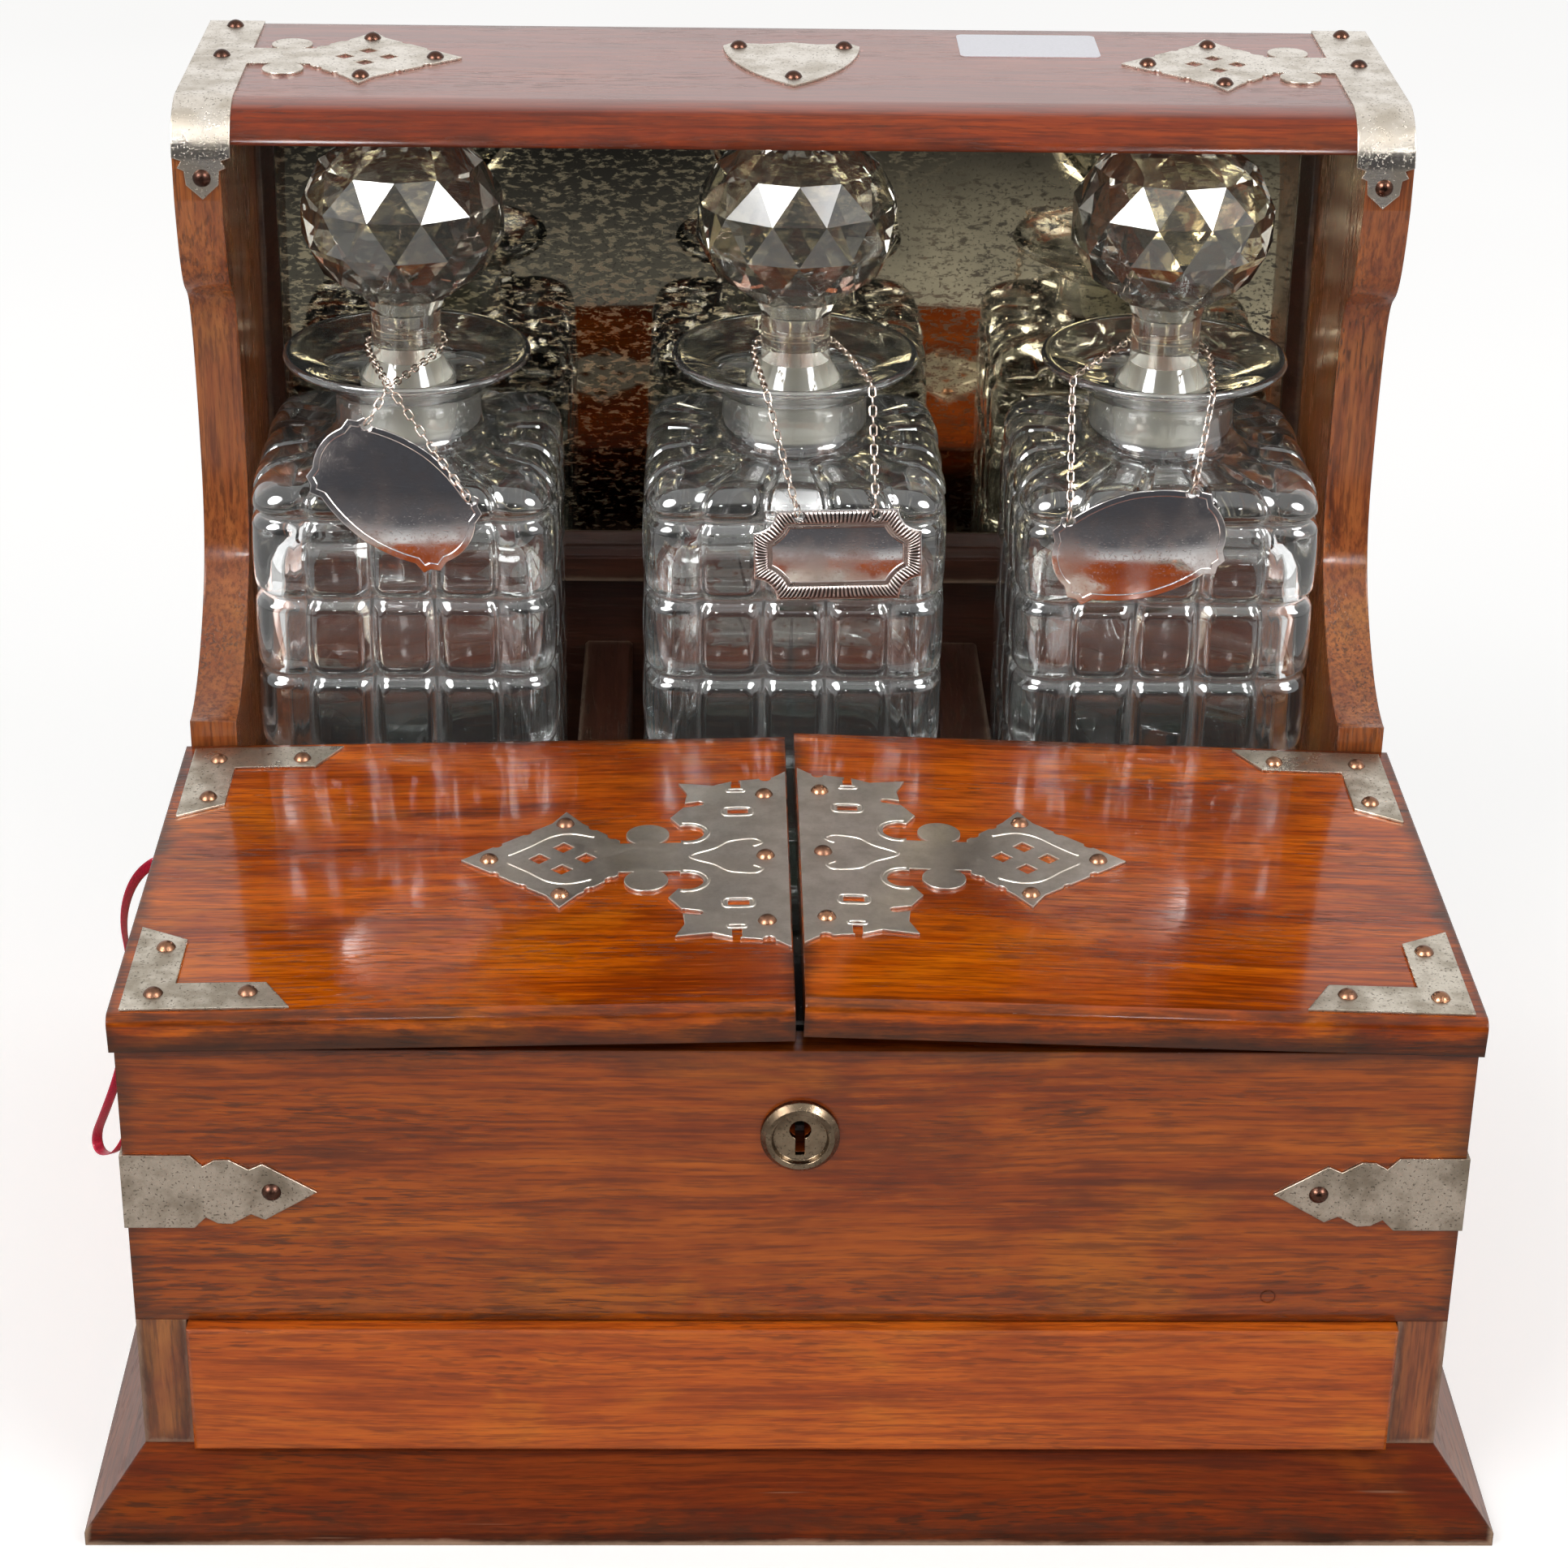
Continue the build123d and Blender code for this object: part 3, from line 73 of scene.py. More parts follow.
def outward(points: np.ndarray, quads: np.ndarray, fans: np.ndarray) -> bool:
    """Tells whether a closed mesh's faces point outward, by the sign of the volume under its faces.

    Args:
        points: The corner points, one row each.
        quads: Four point numbers for each quad.
        fans: Three point numbers for each triangle.

    Returns:
        True if the enclosed volume comes out positive.
    """
    tris = np.concatenate([quads[:, [0, 1, 2]], quads[:, [0, 2, 3]], fans.reshape(-1, 3)])
    a, b, c = (points[tris[:, i]] for i in range(3))
    return float(np.einsum("ij,ij->i", a, np.cross(b, c)).sum()) > 0


def make_object(name: str, points: np.ndarray, quads: np.ndarray, fans: np.ndarray | None = None,
                smooth: bool = True, closed: bool = True) -> bpy.types.Object:
    """Makes a mesh object from arrays of points in millimetres.

    Args:
        name: The piece's name.
        points: The corner points, one row each, in millimetres.
        quads: Four point numbers for each quad.
        fans: Three point numbers for each triangle, if there are any.
        smooth: Whether the faces are shaded smooth.
        closed: Whether the mesh is closed, so that its faces can be turned outward.

    Returns:
        The new object, at the origin.
    """
    fans = np.zeros((0, 3), int) if fans is None else fans
    if closed and not outward(points, quads, fans):
        quads, fans = quads[:, ::-1], fans[:, ::-1]
    mesh = bpy.data.meshes.new(name)
    mesh.vertices.add(len(points))
    mesh.vertices.foreach_set("co", (points * MM).astype(np.float32).ravel())
    corners = np.concatenate([quads.ravel(), fans.ravel()]).astype(np.int32)
    mesh.loops.add(len(corners))
    mesh.loops.foreach_set("vertex_index", corners)
    mesh.polygons.add(len(quads) + len(fans))
    starts = np.concatenate([np.arange(len(quads)) * 4, len(quads) * 4 + np.arange(len(fans)) * 3])
    mesh.polygons.foreach_set("loop_start", starts.astype(np.int32))
    mesh.polygons.foreach_set("use_smooth", np.full(len(starts), smooth))
    mesh.update(calc_edges=True)
    piece = bpy.data.objects.new(name, mesh)
    bpy.context.scene.collection.objects.link(piece)
    return piece


def grid_quads(rows: int, columns: int, wrap_rows: bool, wrap_columns: bool) -> np.ndarray:
    """Numbers the quads of a grid of points: each cell joins point (i, j) to its next row and column.

    Args:
        rows: How many rows of points there are.
        columns: How many points a row has.
        wrap_rows: Whether the last row joins the first.
        wrap_columns: Whether a row's last point joins its first.

    Returns:
        One row of four point numbers for each cell.
    """
    i = np.arange(rows if wrap_rows else rows - 1)[:, None]
    j = np.arange(columns if wrap_columns else columns - 1)[None, :]
    nxt_i, nxt_j = (i + 1) % rows, (j + 1) % columns
    cells = [i * columns + j, nxt_i * columns + j, nxt_i * columns + nxt_j, i * columns + nxt_j]
    return np.stack([np.broadcast_to(c, (i.shape[0], j.shape[1])) for c in cells], axis=-1).reshape(-1, 4)


def solid_of_rings(name: str, rings: np.ndarray, smooth: bool = True) -> bpy.types.Object:
    """Closes a stack of rings into a solid: quads between neighbours, and a fan over each end's middle.

    Args:
        name: The piece's name.
        rings: The points, as (ring, point round it, coordinate), in millimetres.
        smooth: Whether the faces are shaded smooth.

    Returns:
        The new object.
    """
    n, m = rings.shape[:2]
    points = np.concatenate([rings.reshape(-1, 3), rings[[0, -1]].mean(axis=1)])
    j = np.arange(m)
    nxt = (j + 1) % m
    first = np.stack([nxt, j, np.full(m, n * m)], axis=1)
    last = np.stack([(n - 1) * m + j, (n - 1) * m + nxt, np.full(m, n * m + 1)], axis=1)
    return make_object(name, points, grid_quads(n, m, False, True), np.concatenate([first, last]), smooth)


def smooth_step(x: np.ndarray) -> np.ndarray:
    """Returns 3x² − 2x³ with x held between 0 and 1."""
    x = np.clip(x, 0.0, 1.0)
    return x * x * (3 - 2 * x)


def unit(v: np.ndarray) -> np.ndarray:
    """Returns the vector, or each row of vectors, at a length of 1."""
    return v / np.linalg.norm(v, axis=-1, keepdims=True)


def drawn_line(turns: Any) -> np.ndarray:
    """Draws a NURBS spline pulled by its turns and reads points back from it.

    Args:
        turns: The spline's control points, in millimetres.

    Returns:
        The points along the spline, in millimetres.
    """
    curve = bpy.data.curves.new("line", "CURVE")
    curve.dimensions = "3D"
    spline = curve.splines.new("NURBS")
    spline.points.add(len(turns) - 1)
    for place, turn in zip(spline.points, turns):
        place.co = (*scaled(turn, MM), 1.0)
    spline.order_u = 3
    spline.use_endpoint_u = True
    spline.resolution_u = 8
    holder = bpy.data.objects.new("line", curve)
    mesh = bpy.data.meshes.new_from_object(holder)
    points = np.empty(len(mesh.vertices) * 3, np.float32)
    mesh.vertices.foreach_get("co", points)
    bpy.data.meshes.remove(mesh)
    bpy.data.objects.remove(holder)
    bpy.data.curves.remove(curve)
    return points.reshape(-1, 3).astype(float) / MM


def hinge_place(side: str) -> np.ndarray:
    """Returns a place on one lid's hinge axis, in millimetres."""
    return np.array(JOINTS[f"lid_{side}_hinge"]["pos_m"]) / MM


def scaled(colour: Colour, factor: float | Colour) -> Colour:
    """Returns a colour or a place times one number, or times one number for each part of it."""
    return tuple(float(c) for c in np.array(colour) * np.array(factor))


def note(piece: bpy.types.Object, name: str, values: np.ndarray) -> None:
    """Writes one number on each point of a piece, for its finish to read."""
    attribute = piece.data.attributes.new(name, "FLOAT", "POINT")
    attribute.data.foreach_set("value", values.astype(np.float32))


def stations_on(route: np.ndarray, places: np.ndarray) -> np.ndarray:
    """Returns the points that lie the given distances along a line."""
    run = np.concatenate([[0.0], np.cumsum(np.linalg.norm(np.diff(route, axis=0), axis=1))])
    return np.stack([np.interp(places, run, route[:, i]) for i in range(3)], axis=1)


def route_length(route: np.ndarray) -> float:
    """Returns the length of a line of points."""
    return float(np.linalg.norm(np.diff(route, axis=0), axis=1).sum())


def carried_sides(ways: np.ndarray, first: np.ndarray) -> np.ndarray:
    """Carries a side direction along a line without twisting it.

    Args:
        ways: The line's direction at each point.
        first: The side wanted at the first point.

    Returns:
        A unit side at each point, square to the line.
    """
    sides = []
    side = first
    for way in ways:
        side = unit(side - (side @ way) * way)
        sides.append(side)
    return np.array(sides)


def swept(path: np.ndarray, sides: np.ndarray, section: np.ndarray, closed: bool) -> np.ndarray:
    """Lays one cross-section at each point of a line.

    Args:
        path: The line's points.
        sides: The direction of the section's first coordinate at each point.
        section: The section's points, as two coordinates each.
        closed: Whether the line joins its own start.

    Returns:
        The points, as (point along the line, point round the section, coordinate).
    """
    if closed:
        ways = unit(np.roll(path, -1, axis=0) - np.roll(path, 1, axis=0))
    else:
        ways = unit(np.gradient(path, axis=0))
    sides = unit(sides - (sides * ways).sum(axis=1, keepdims=True) * ways)
    ups = np.cross(ways, sides)
    return (path[:, None, :] + section[None, :, 0:1] * sides[:, None, :]
            + section[None, :, 1:2] * ups[:, None, :])


def round_section(radius: float, count: int) -> np.ndarray:
    """Returns a circle's points, as two coordinates each."""
    a = np.arange(count) * 2 * math.pi / count
    return radius * np.stack([np.cos(a), np.sin(a)], axis=1)


def joined(parts: list[tuple[np.ndarray, np.ndarray]]) -> tuple[np.ndarray, np.ndarray]:
    """Joins meshes given as points and quads into one pair of arrays."""
    points, quads, count = [], [], 0
    for some_points, some_quads in parts:
        points.append(some_points.reshape(-1, 3))
        quads.append(some_quads + count)
        count += len(points[-1])
    return np.concatenate(points), np.concatenate(quads)


def thickened(top: np.ndarray, bottom: np.ndarray, quads: np.ndarray) -> tuple[np.ndarray, np.ndarray]:
    """Closes two like grids of points into a thick sheet, with walls round every open edge.

    Args:
        top: The points of the upper face.
        bottom: The points of the lower face, in the same order.
        quads: The quads kept in both.

    Returns:
        The points and the quads of the sheet.
    """
    count = len(top)
    edges = np.concatenate([quads[:, [i, (i + 1) % 4]] for i in range(4)])
    known = set(map(tuple, edges))
    rim = np.array([e for e in map(tuple, edges) if (e[1], e[0]) not in known])
    walls = np.stack([rim[:, 1], rim[:, 0], rim[:, 0] + count, rim[:, 1] + count], axis=1)
    return np.concatenate([top, bottom]), np.concatenate([quads, quads[:, ::-1] + count, walls])


# ---------------------------------------------------------------- node recipes


class Recipe:
    """Builds the nodes of one material, or of the world, a node at a time."""

    def __init__(self, owner: Any) -> None:
        """Starts an empty tree in the world given, or in a new material of the name given."""
        self.owner = bpy.data.materials.new(owner) if isinstance(owner, str) else owner
        self.owner.use_nodes = True
        self.tree = self.owner.node_tree
        self.tree.nodes.clear()

    def put(self, kind: str, out: Any = 0, feeds: dict[Any, Any] | None = None, **settings: Any) -> Any:
        """Adds a node and returns one of its output sockets.

        Args:
            kind: The node's type without its ShaderNode prefix.
            out: The output socket's name or number.
            feeds: A value or a socket for each input's name or number.
            settings: The node's own properties.

        Returns:
            The output socket.
        """
        node = self.tree.nodes.new("ShaderNode" + kind)
        for key, value in settings.items():
            setattr(node, key, value)
        for key, value in (feeds or {}).items():
            self.feed(node.inputs[key], value)
        return node.outputs[out]

    def feed(self, socket: Any, value: Any) -> None:
        """Links a socket to an input, or sets the input to a value."""
        if isinstance(value, bpy.types.NodeSocket):
            self.tree.links.new(value, socket)
        elif socket.type == "RGBA" and len(value) == 3:
            socket.default_value = (*value, 1.0)
        else:
            socket.default_value = value

    def point(self) -> Any:
        """Returns the piece's own coordinates, in metres."""
        return self.put("TexCoord", "Object")

    def placed(self, vector: Any, scale: Any = (1, 1, 1), turn: Any = (0, 0, 0),
               move: Any = (0, 0, 0)) -> Any:
        """Returns the vector scaled, turned and moved."""
        return self.put("Mapping", 0, {"Vector": vector, "Scale": scale, "Rotation": turn, "Location": move})

    def noise(self, vector: Any, scale: float, detail: float = 2.0, rough: float = 0.5, bend: float = 0.0,
              out: str = "Fac") -> Any:
        """Returns a noise value or colour at the vector."""
        feeds = {"Vector": vector, "Scale": scale, "Detail": detail, "Roughness": rough, "Distortion": bend}
        return self.put("TexNoise", out, feeds)

    def calc(self, operation: str, a: Any, b: Any = 0.0, c: Any = 0.0, clamp: bool = False) -> Any:
        """Returns the result of one Math operation on up to three values."""
        return self.put("Math", 0, {0: a, 1: b, 2: c}, operation=operation, use_clamp=clamp)

    def span(self, value: Any, low: float, high: float, to_low: float = 0.0, to_high: float = 1.0) -> Any:
        """Returns the value spread smoothly from one range to another, held at its ends."""
        feeds = {"Value": value, "From Min": low, "From Max": high, "To Min": to_low, "To Max": to_high}
        return self.put("MapRange", 0, feeds, interpolation_type="SMOOTHSTEP")

    def ramp(self, factor: Any, *stops: tuple[float, Colour]) -> Any:
        """Returns a colour between the stops at that factor."""
        node = self.put("ValToRGB", 0, {0: factor}).node
        elements = node.color_ramp.elements
        while len(elements) < len(stops):
            elements.new(0.5)
        for element, (place, colour) in zip(elements, stops):
            element.position = place
            element.color = (*colour, 1.0)
        return node.outputs[0]

    def mix(self, factor: Any, a: Any, b: Any, how: str = "MIX") -> Any:
        """Returns two colours mixed by the factor."""
        return self.put("Mix", 2, {0: factor, 6: a, 7: b}, data_type="RGBA", blend_type=how)

    def bump(self, height: Any, distance: float, strength: float = 1.0, normal: Any = None) -> Any:
        """Returns a normal pressed by the height, in metres."""
        feeds = {"Height": height, "Distance": distance, "Strength": strength}
        return self.put("Bump", 0, feeds | ({"Normal": normal} if normal is not None else {}))

    def soft_edge(self, radius: float) -> Any:
        """Returns a normal that rounds sharp edges off by a radius in metres."""
        return self.put("Bevel", 0, {"Radius": radius}, samples=6)

    def surface(self, shader: Any) -> Any:
        """Ends the tree with that shader and returns its owner."""
        kind = "Material" if isinstance(self.owner, bpy.types.Material) else "World"
        self.feed(self.tree.nodes.new("ShaderNodeOutput" + kind).inputs["Surface"], shader)
        return self.owner

    def principled(self, **feeds: Any) -> Any:
        """Returns a Principled shader. Underscores stand for the spaces in a socket's name."""
        return self.put("BsdfPrincipled", 0, {k.replace("_", " "): v for k, v in feeds.items()})


@dataclass(frozen=True)
class Board:
    """Where one board lies: its corners in its own frame, and that frame's turn about the depth axis."""

    low: tuple[float, float, float]
    high: tuple[float, float, float]
    turn: float = 0.0
    pivot: tuple[float, float, float] = (0.0, 0.0, 0.0)


@dataclass(frozen=True)
class Oak:
    """Varnished oak with straight open grain, darkened and rubbed towards its edges."""

    light: Colour
    mid: Colour
    dark: Colour
    gloss: float = 0.16
    coat: float = 0.3
    shine: float = 0.4
    pores: float = 0.75
    stain: float = 0.6
    reach: float = 7.0
    rubbed: float = 0.0
    patchy: float = 0.45
    stain_colour: Colour = (0.028, 0.014, 0.008)
    bare_wood: Colour = (0.46, 0.31, 0.21)
    scuffed_wood: Colour = (0.5, 0.3, 0.18)
    # painted sheen: the pale colour mixed into faces that look up, standing in for their reflection of the
    # bright surroundings
    painted_sheen_colour: Colour = (0.62, 0.46, 0.44)
    under: float = 0.0
    # how strongly the painted sheen pales the faces that look up
    painted_sheen: float = 0.0

    def material(self, name: str, grain: Grain, board: Board) -> bpy.types.Material:
        """Makes the finish for one board.

        The colour runs along noises drawn out along the grain: broad streaks, growth lines, fibres and short
        dark pores. The distance to the nearest edge of the board is the middle one of its three distances to
        the board's faces, and the stain and the rubbed wood follow it. The board darkens below the height of
        under, and a painted sheen pales the faces that look up, in place of the bright reflection they catch.

        Args:
            name: The material's name.
            grain: The axis that the grain runs along.
            board: Where the board lies.

        Returns:
            The material.
        """
        r = Recipe(name)
        point = r.point()
        seed = tuple(0.37 * (i + 1) * (1 + len(name) % 7) for i in range(3))

        def drawn(vector: Any, along: float, across: float) -> Any:
            """Returns the vector scaled by one number along the grain and another across it."""
            scale = [across] * 3
            scale[grain.value] = along
            return r.placed(vector, scale=scale, move=seed)

        sway = r.noise(drawn(point, 5.0, 16.0), 1.0, 2.0, out="Color")
        shift = r.put("VectorMath", 0, {0: sway, 1: (0.012,) * 3, 2: point}, operation="MULTIPLY_ADD")
        streak = r.noise(drawn(shift, 3.2, 46.0), 1.0, 5.0, 0.62)
        lines = r.noise(drawn(shift, 7.0, 330.0), 1.0, 3.0, 0.6)
        fibre = r.noise(drawn(shift, 45.0, 850.0), 1.0, 3.0, 0.7)
        pore = r.noise(drawn(shift, 120.0, 1000.0), 1.0, 1.5, 0.6)
        density = r.span(r.noise(drawn(point, 9.0, 60.0), 1.0, 3.0), 0.3, 0.75)
        pore = r.calc("MULTIPLY", r.span(pore, 0.53, 0.64), density)
        tone = r.calc("MULTIPLY_ADD", lines, 0.5, r.calc("MULTIPLY", streak, 0.5))
        colour = r.ramp(tone, (0.33, self.dark), (0.45, self.mid), (0.62, self.light))
        cloud = r.noise(drawn(point, 13.0, 24.0), 1.0, 5.0, 0.62)
        redder = scaled(self.mid, (0.5, 0.36, 0.6))
        colour = r.mix(r.calc("MULTIPLY", r.span(cloud, 0.46, 0.7), self.patchy), colour, redder)
        glow = r.noise(drawn(point, 16.0, 30.0), 1.0, 4.0, 0.62, 0.4)
        colour = r.mix(r.span(glow, 0.52, 0.7, 0.0, 0.65), colour, scaled(self.light, (1.0, 1.2, 1.0)))
        colour = r.mix(r.span(fibre, 0.44, 0.64, 0.0, 0.6), colour, self.dark)
        colour = r.mix(r.span(fibre, 0.42, 0.3, 0.0, 0.5), colour, self.light)
        colour = r.mix(r.calc("MULTIPLY", pore, self.pores), colour, self.stain_colour)
        edge = self.edge_distance(r, point, board)
        ragged = r.noise(drawn(point, 30.0, 90.0), 1.0, 5.0, 0.7)
        spread = r.calc("MULTIPLY_ADD", r.calc("SUBTRACT", ragged, 0.5), 2.6 * self.reach * MM, edge)
        stain = r.calc("MULTIPLY", r.span(spread, self.reach * MM, -0.2 * self.reach * MM), self.stain)
        colour = r.mix(stain, colour, self.stain_colour)
        # darker towards the bottom: the board darkens below the height of under above its lowest face
        if self.under:
            rise = r.put("SeparateXYZ", 2, {0: self.local(r, point, board)})
            rise = r.calc("MULTIPLY_ADD", r.calc("SUBTRACT", ragged, 0.5), 0.011, rise)
            floor = board.low[2] * MM
            low_darkening = r.span(rise, floor + (self.under + 1.8) * MM, floor + (self.under - 0.8) * MM, 0.0, 0.6)
            colour = r.mix(low_darkening, colour, self.stain_colour)
        rub = r.span(r.calc("MULTIPLY_ADD", ragged, -0.004, edge), 0.0, -0.0022)
        rub = r.calc("MULTIPLY", rub, self.rubbed)
        colour = r.mix(rub, colour, self.bare_wood)
        scuff = r.span(r.noise(drawn(point, 14.0, 700.0), 1.0, 2.0, 0.8), 0.72, 0.8)
        colour = r.mix(r.calc("MULTIPLY", scuff, 0.25), colour, self.scuffed_wood)
        # painted sheen: faces that look up are paled, standing in for the bright reflection they catch
        if self.painted_sheen:
            upward = r.put("SeparateXYZ", 2, {0: r.put("TexCoord", "Normal")})
            colour = r.mix(r.span(upward, 0.85, 0.97, 0.0, self.painted_sheen), colour, self.painted_sheen_colour)
        rough = r.calc("ADD", r.calc("MULTIPLY_ADD", pore, 0.25, self.gloss), r.calc("MULTIPLY", rub, 0.3))
        rough = r.calc("ADD", rough, r.span(cloud, 0.35, 0.8, 0.0, 0.1))
        height = r.calc("MULTIPLY_ADD", pore, -1.0, r.calc("MULTIPLY", lines, 0.5))
        normal = r.bump(height, 0.00012, 0.5, r.soft_edge(0.0009))
        return r.surface(r.principled(Base_Color=colour, Roughness=rough, Normal=normal,
                                      Coat_Weight=self.coat, Coat_Roughness=0.06, IOR=1.5,
                                      Specular_IOR_Level=self.shine))

    @staticmethod
    def local(r: Recipe, point: Any, board: Board) -> Any:
        """Returns the point in the board's own frame, turned back about the board's pivot."""
        back = Matrix.Rotation(-board.turn, 3, "Y")
        move = -(back @ (Vector(board.pivot) * MM))
        return r.placed(point, turn=(0.0, -board.turn, 0.0), move=tuple(move))

    def edge_distance(self, r: Recipe, point: Any, board: Board) -> Any:
        """Returns the distance to the board's nearest edge: the middle of its distances to the faces."""
        parts = r.put("SeparateXYZ", 0, {0: self.local(r, point, board)}).node.outputs
        gaps = []
        for axis in range(3):
            half = (board.high[axis] - board.low[axis]) / 2 * MM
            middle = (board.high[axis] + board.low[axis]) / 2 * MM
            off = r.calc("ABSOLUTE", r.calc("SUBTRACT", parts[axis], middle))
            gaps.append(r.calc("SUBTRACT", half, off))
        low = r.calc("MINIMUM", gaps[0], gaps[1])
        high = r.calc("MAXIMUM", gaps[0], gaps[1])
        return r.calc("MAXIMUM", low, r.calc("MINIMUM", high, gaps[2]))


@dataclass(frozen=True)
class PlainOak:
    """Bare oak of the hidden inner faces."""

    colour: Colour = (0.42, 0.27, 0.15)

    def material(self, name: str, grain: Grain) -> bpy.types.Material:
        """Makes the finish, drawn out along the grain."""
        r = Recipe(name)
        scale = [260.0] * 3
        scale[grain.value] = 6.0
        lines = r.noise(r.placed(r.point(), scale=scale), 1.0, 4.0, 0.6)
        colour = r.ramp(lines, (0.35, scaled(self.colour, 0.55)), (0.6, self.colour))
        rough = r.span(lines, 0.3, 0.7, 0.75, 0.6)
        return r.surface(r.principled(Base_Color=colour, Roughness=rough, Normal=r.bump(lines, 0.0002, 0.4)))


@dataclass(frozen=True)
class WornMetal:
    """Sheet metal with a dulled, specked face and rims rubbed bright."""

    face: Colour
    tarnish: Colour
    rough: float = 0.3
    specks: float = 0.6
    edge: float = 0.0004
    marks: float = 1.0
    dents: float = 1.0
    swell: float = 4.6
    # names the attribute that places painted shade, darkest where it is high
    hollow: str = ""

    def material(self, name: str, dome: Colour | None = None) -> bpy.types.Material:
        """Makes the finish.

        Two noises cloud the colour and the roughness, a fine one makes the pits, a drawn-out one the
        polishing marks, and the rounded-off normal at the rims is what brightens them. A dome swells the face
        by a height that falls with the square of the distance from its middle. Where the hollow attribute is
        high, painted shade darkens the metal, in place of the shade that falls in the valleys.

        Args:
            name: The material's name.
            dome: The middle of the swelling in millimetres, if the face has one.

        Returns:
            The material.
        """
        r = Recipe(name)
        point = r.point()
        cloud = r.noise(point, 95.0, 4.0, 0.62)
        fine = r.noise(point, 900.0, 3.0, 0.7)
        pits = r.calc("MULTIPLY", r.span(r.noise(point, 1500.0, 1.0), 0.62, 0.7), self.specks)
        marks = r.noise(r.placed(point, scale=(180.0, 1600.0, 1600.0)), 1.0, 3.0, 0.6)
        colour = r.mix(r.span(cloud, 0.36, 0.68), self.face, self.tarnish)
        colour = r.mix(r.span(fine, 0.4, 0.8, 0.0, 0.35), colour, self.tarnish)
        colour = r.mix(pits, colour, scaled(self.tarnish, 0.25))
        # painted shade where the attribute is high, in the valleys of the raised work
        if self.hollow:
            deep = r.put("Attribute", "Fac", attribute_name=self.hollow)
            colour = r.mix(r.span(deep, 0.1, 0.7), colour, scaled(self.tarnish, 0.2))
        rough = r.calc("ADD", r.span(cloud, 0.3, 0.75, self.rough - 0.06, self.rough + 0.12),
                       r.calc("MULTIPLY", pits, 0.3))
        height = r.calc("ADD", r.calc("MULTIPLY", marks, 0.25 * self.marks), r.calc("MULTIPLY", pits, -0.8))
        height = r.calc("MULTIPLY_ADD", cloud, 1.2 * self.dents, height)
        normal = r.bump(height, 0.00009, 0.8, r.soft_edge(self.edge))
        if dome:
            off = r.put("VectorMath", 0, {0: point, 1: scaled(dome, MM)}, operation="SUBTRACT")
            square = r.put("VectorMath", "Value", {0: off, 1: off}, operation="DOT_PRODUCT")
            normal = r.bump(r.calc("MULTIPLY", square, -self.swell), 1.0, 1.0, normal)
        return r.surface(r.principled(Base_Color=colour, Metallic=1.0, Roughness=rough, Normal=normal))


@dataclass(frozen=True)
class Crystal:
    """Clear cut glass that lets lamp light through, ground dull between two heights if they are given.

    The veil is how much of it scatters light like milk, and the field after it how much more does where the
    cutting is
    deep: a painted highlight that whitens the grooves in place of the light their flanks reflect.
    """

    tint: Colour = (0.97, 0.985, 0.98)
    ripple: float = 0.00004
    bend: float = 1.54
    veil: float = 0.0
    groove_highlight: float = 0.0
    ground: tuple[float, float] | None = None

    def material(self, name: str) -> bpy.types.Material:
        """Makes the finish, with a slow ripple pressed into it."""
        r = Recipe(name)
        point = r.point()
        wave = r.noise(point, 70.0, 2.0, 0.5)
        rough: Any = 0.0
        clarity: Any = 1.0 - self.veil
        if self.ground:
            height = r.put("SeparateXYZ", 2, {0: point})
            above = r.span(height, self.ground[0] * MM, (self.ground[0] + 0.6) * MM)
            below = r.span(height, self.ground[1] * MM, (self.ground[1] - 0.6) * MM)
            rough = r.calc("MULTIPLY", r.calc("MULTIPLY", above, below), 0.45)
        elif self.groove_highlight:
            # painted highlight: where the cutting is deep the glass turns partly diffuse white
            cut = r.span(r.put("Attribute", "Fac", attribute_name="cut"), 0.8, 1.1)
            clarity = r.calc("MULTIPLY_ADD", cut, -self.groove_highlight, clarity)
        glass = r.principled(Base_Color=self.tint, Roughness=rough, IOR=self.bend,
                             Transmission_Weight=clarity, Coat_Weight=1.0, Coat_Roughness=0.0, Coat_IOR=1.6,
                             Normal=r.bump(wave, self.ripple, 0.6))
        clear = r.put("BsdfTransparent", 0, {"Color": (0.9, 0.91, 0.9)})
        lamp = r.put("LightPath", "Is Shadow Ray")
        return r.surface(r.put("MixShader", 0, {0: lamp, 1: glass, 2: clear}))


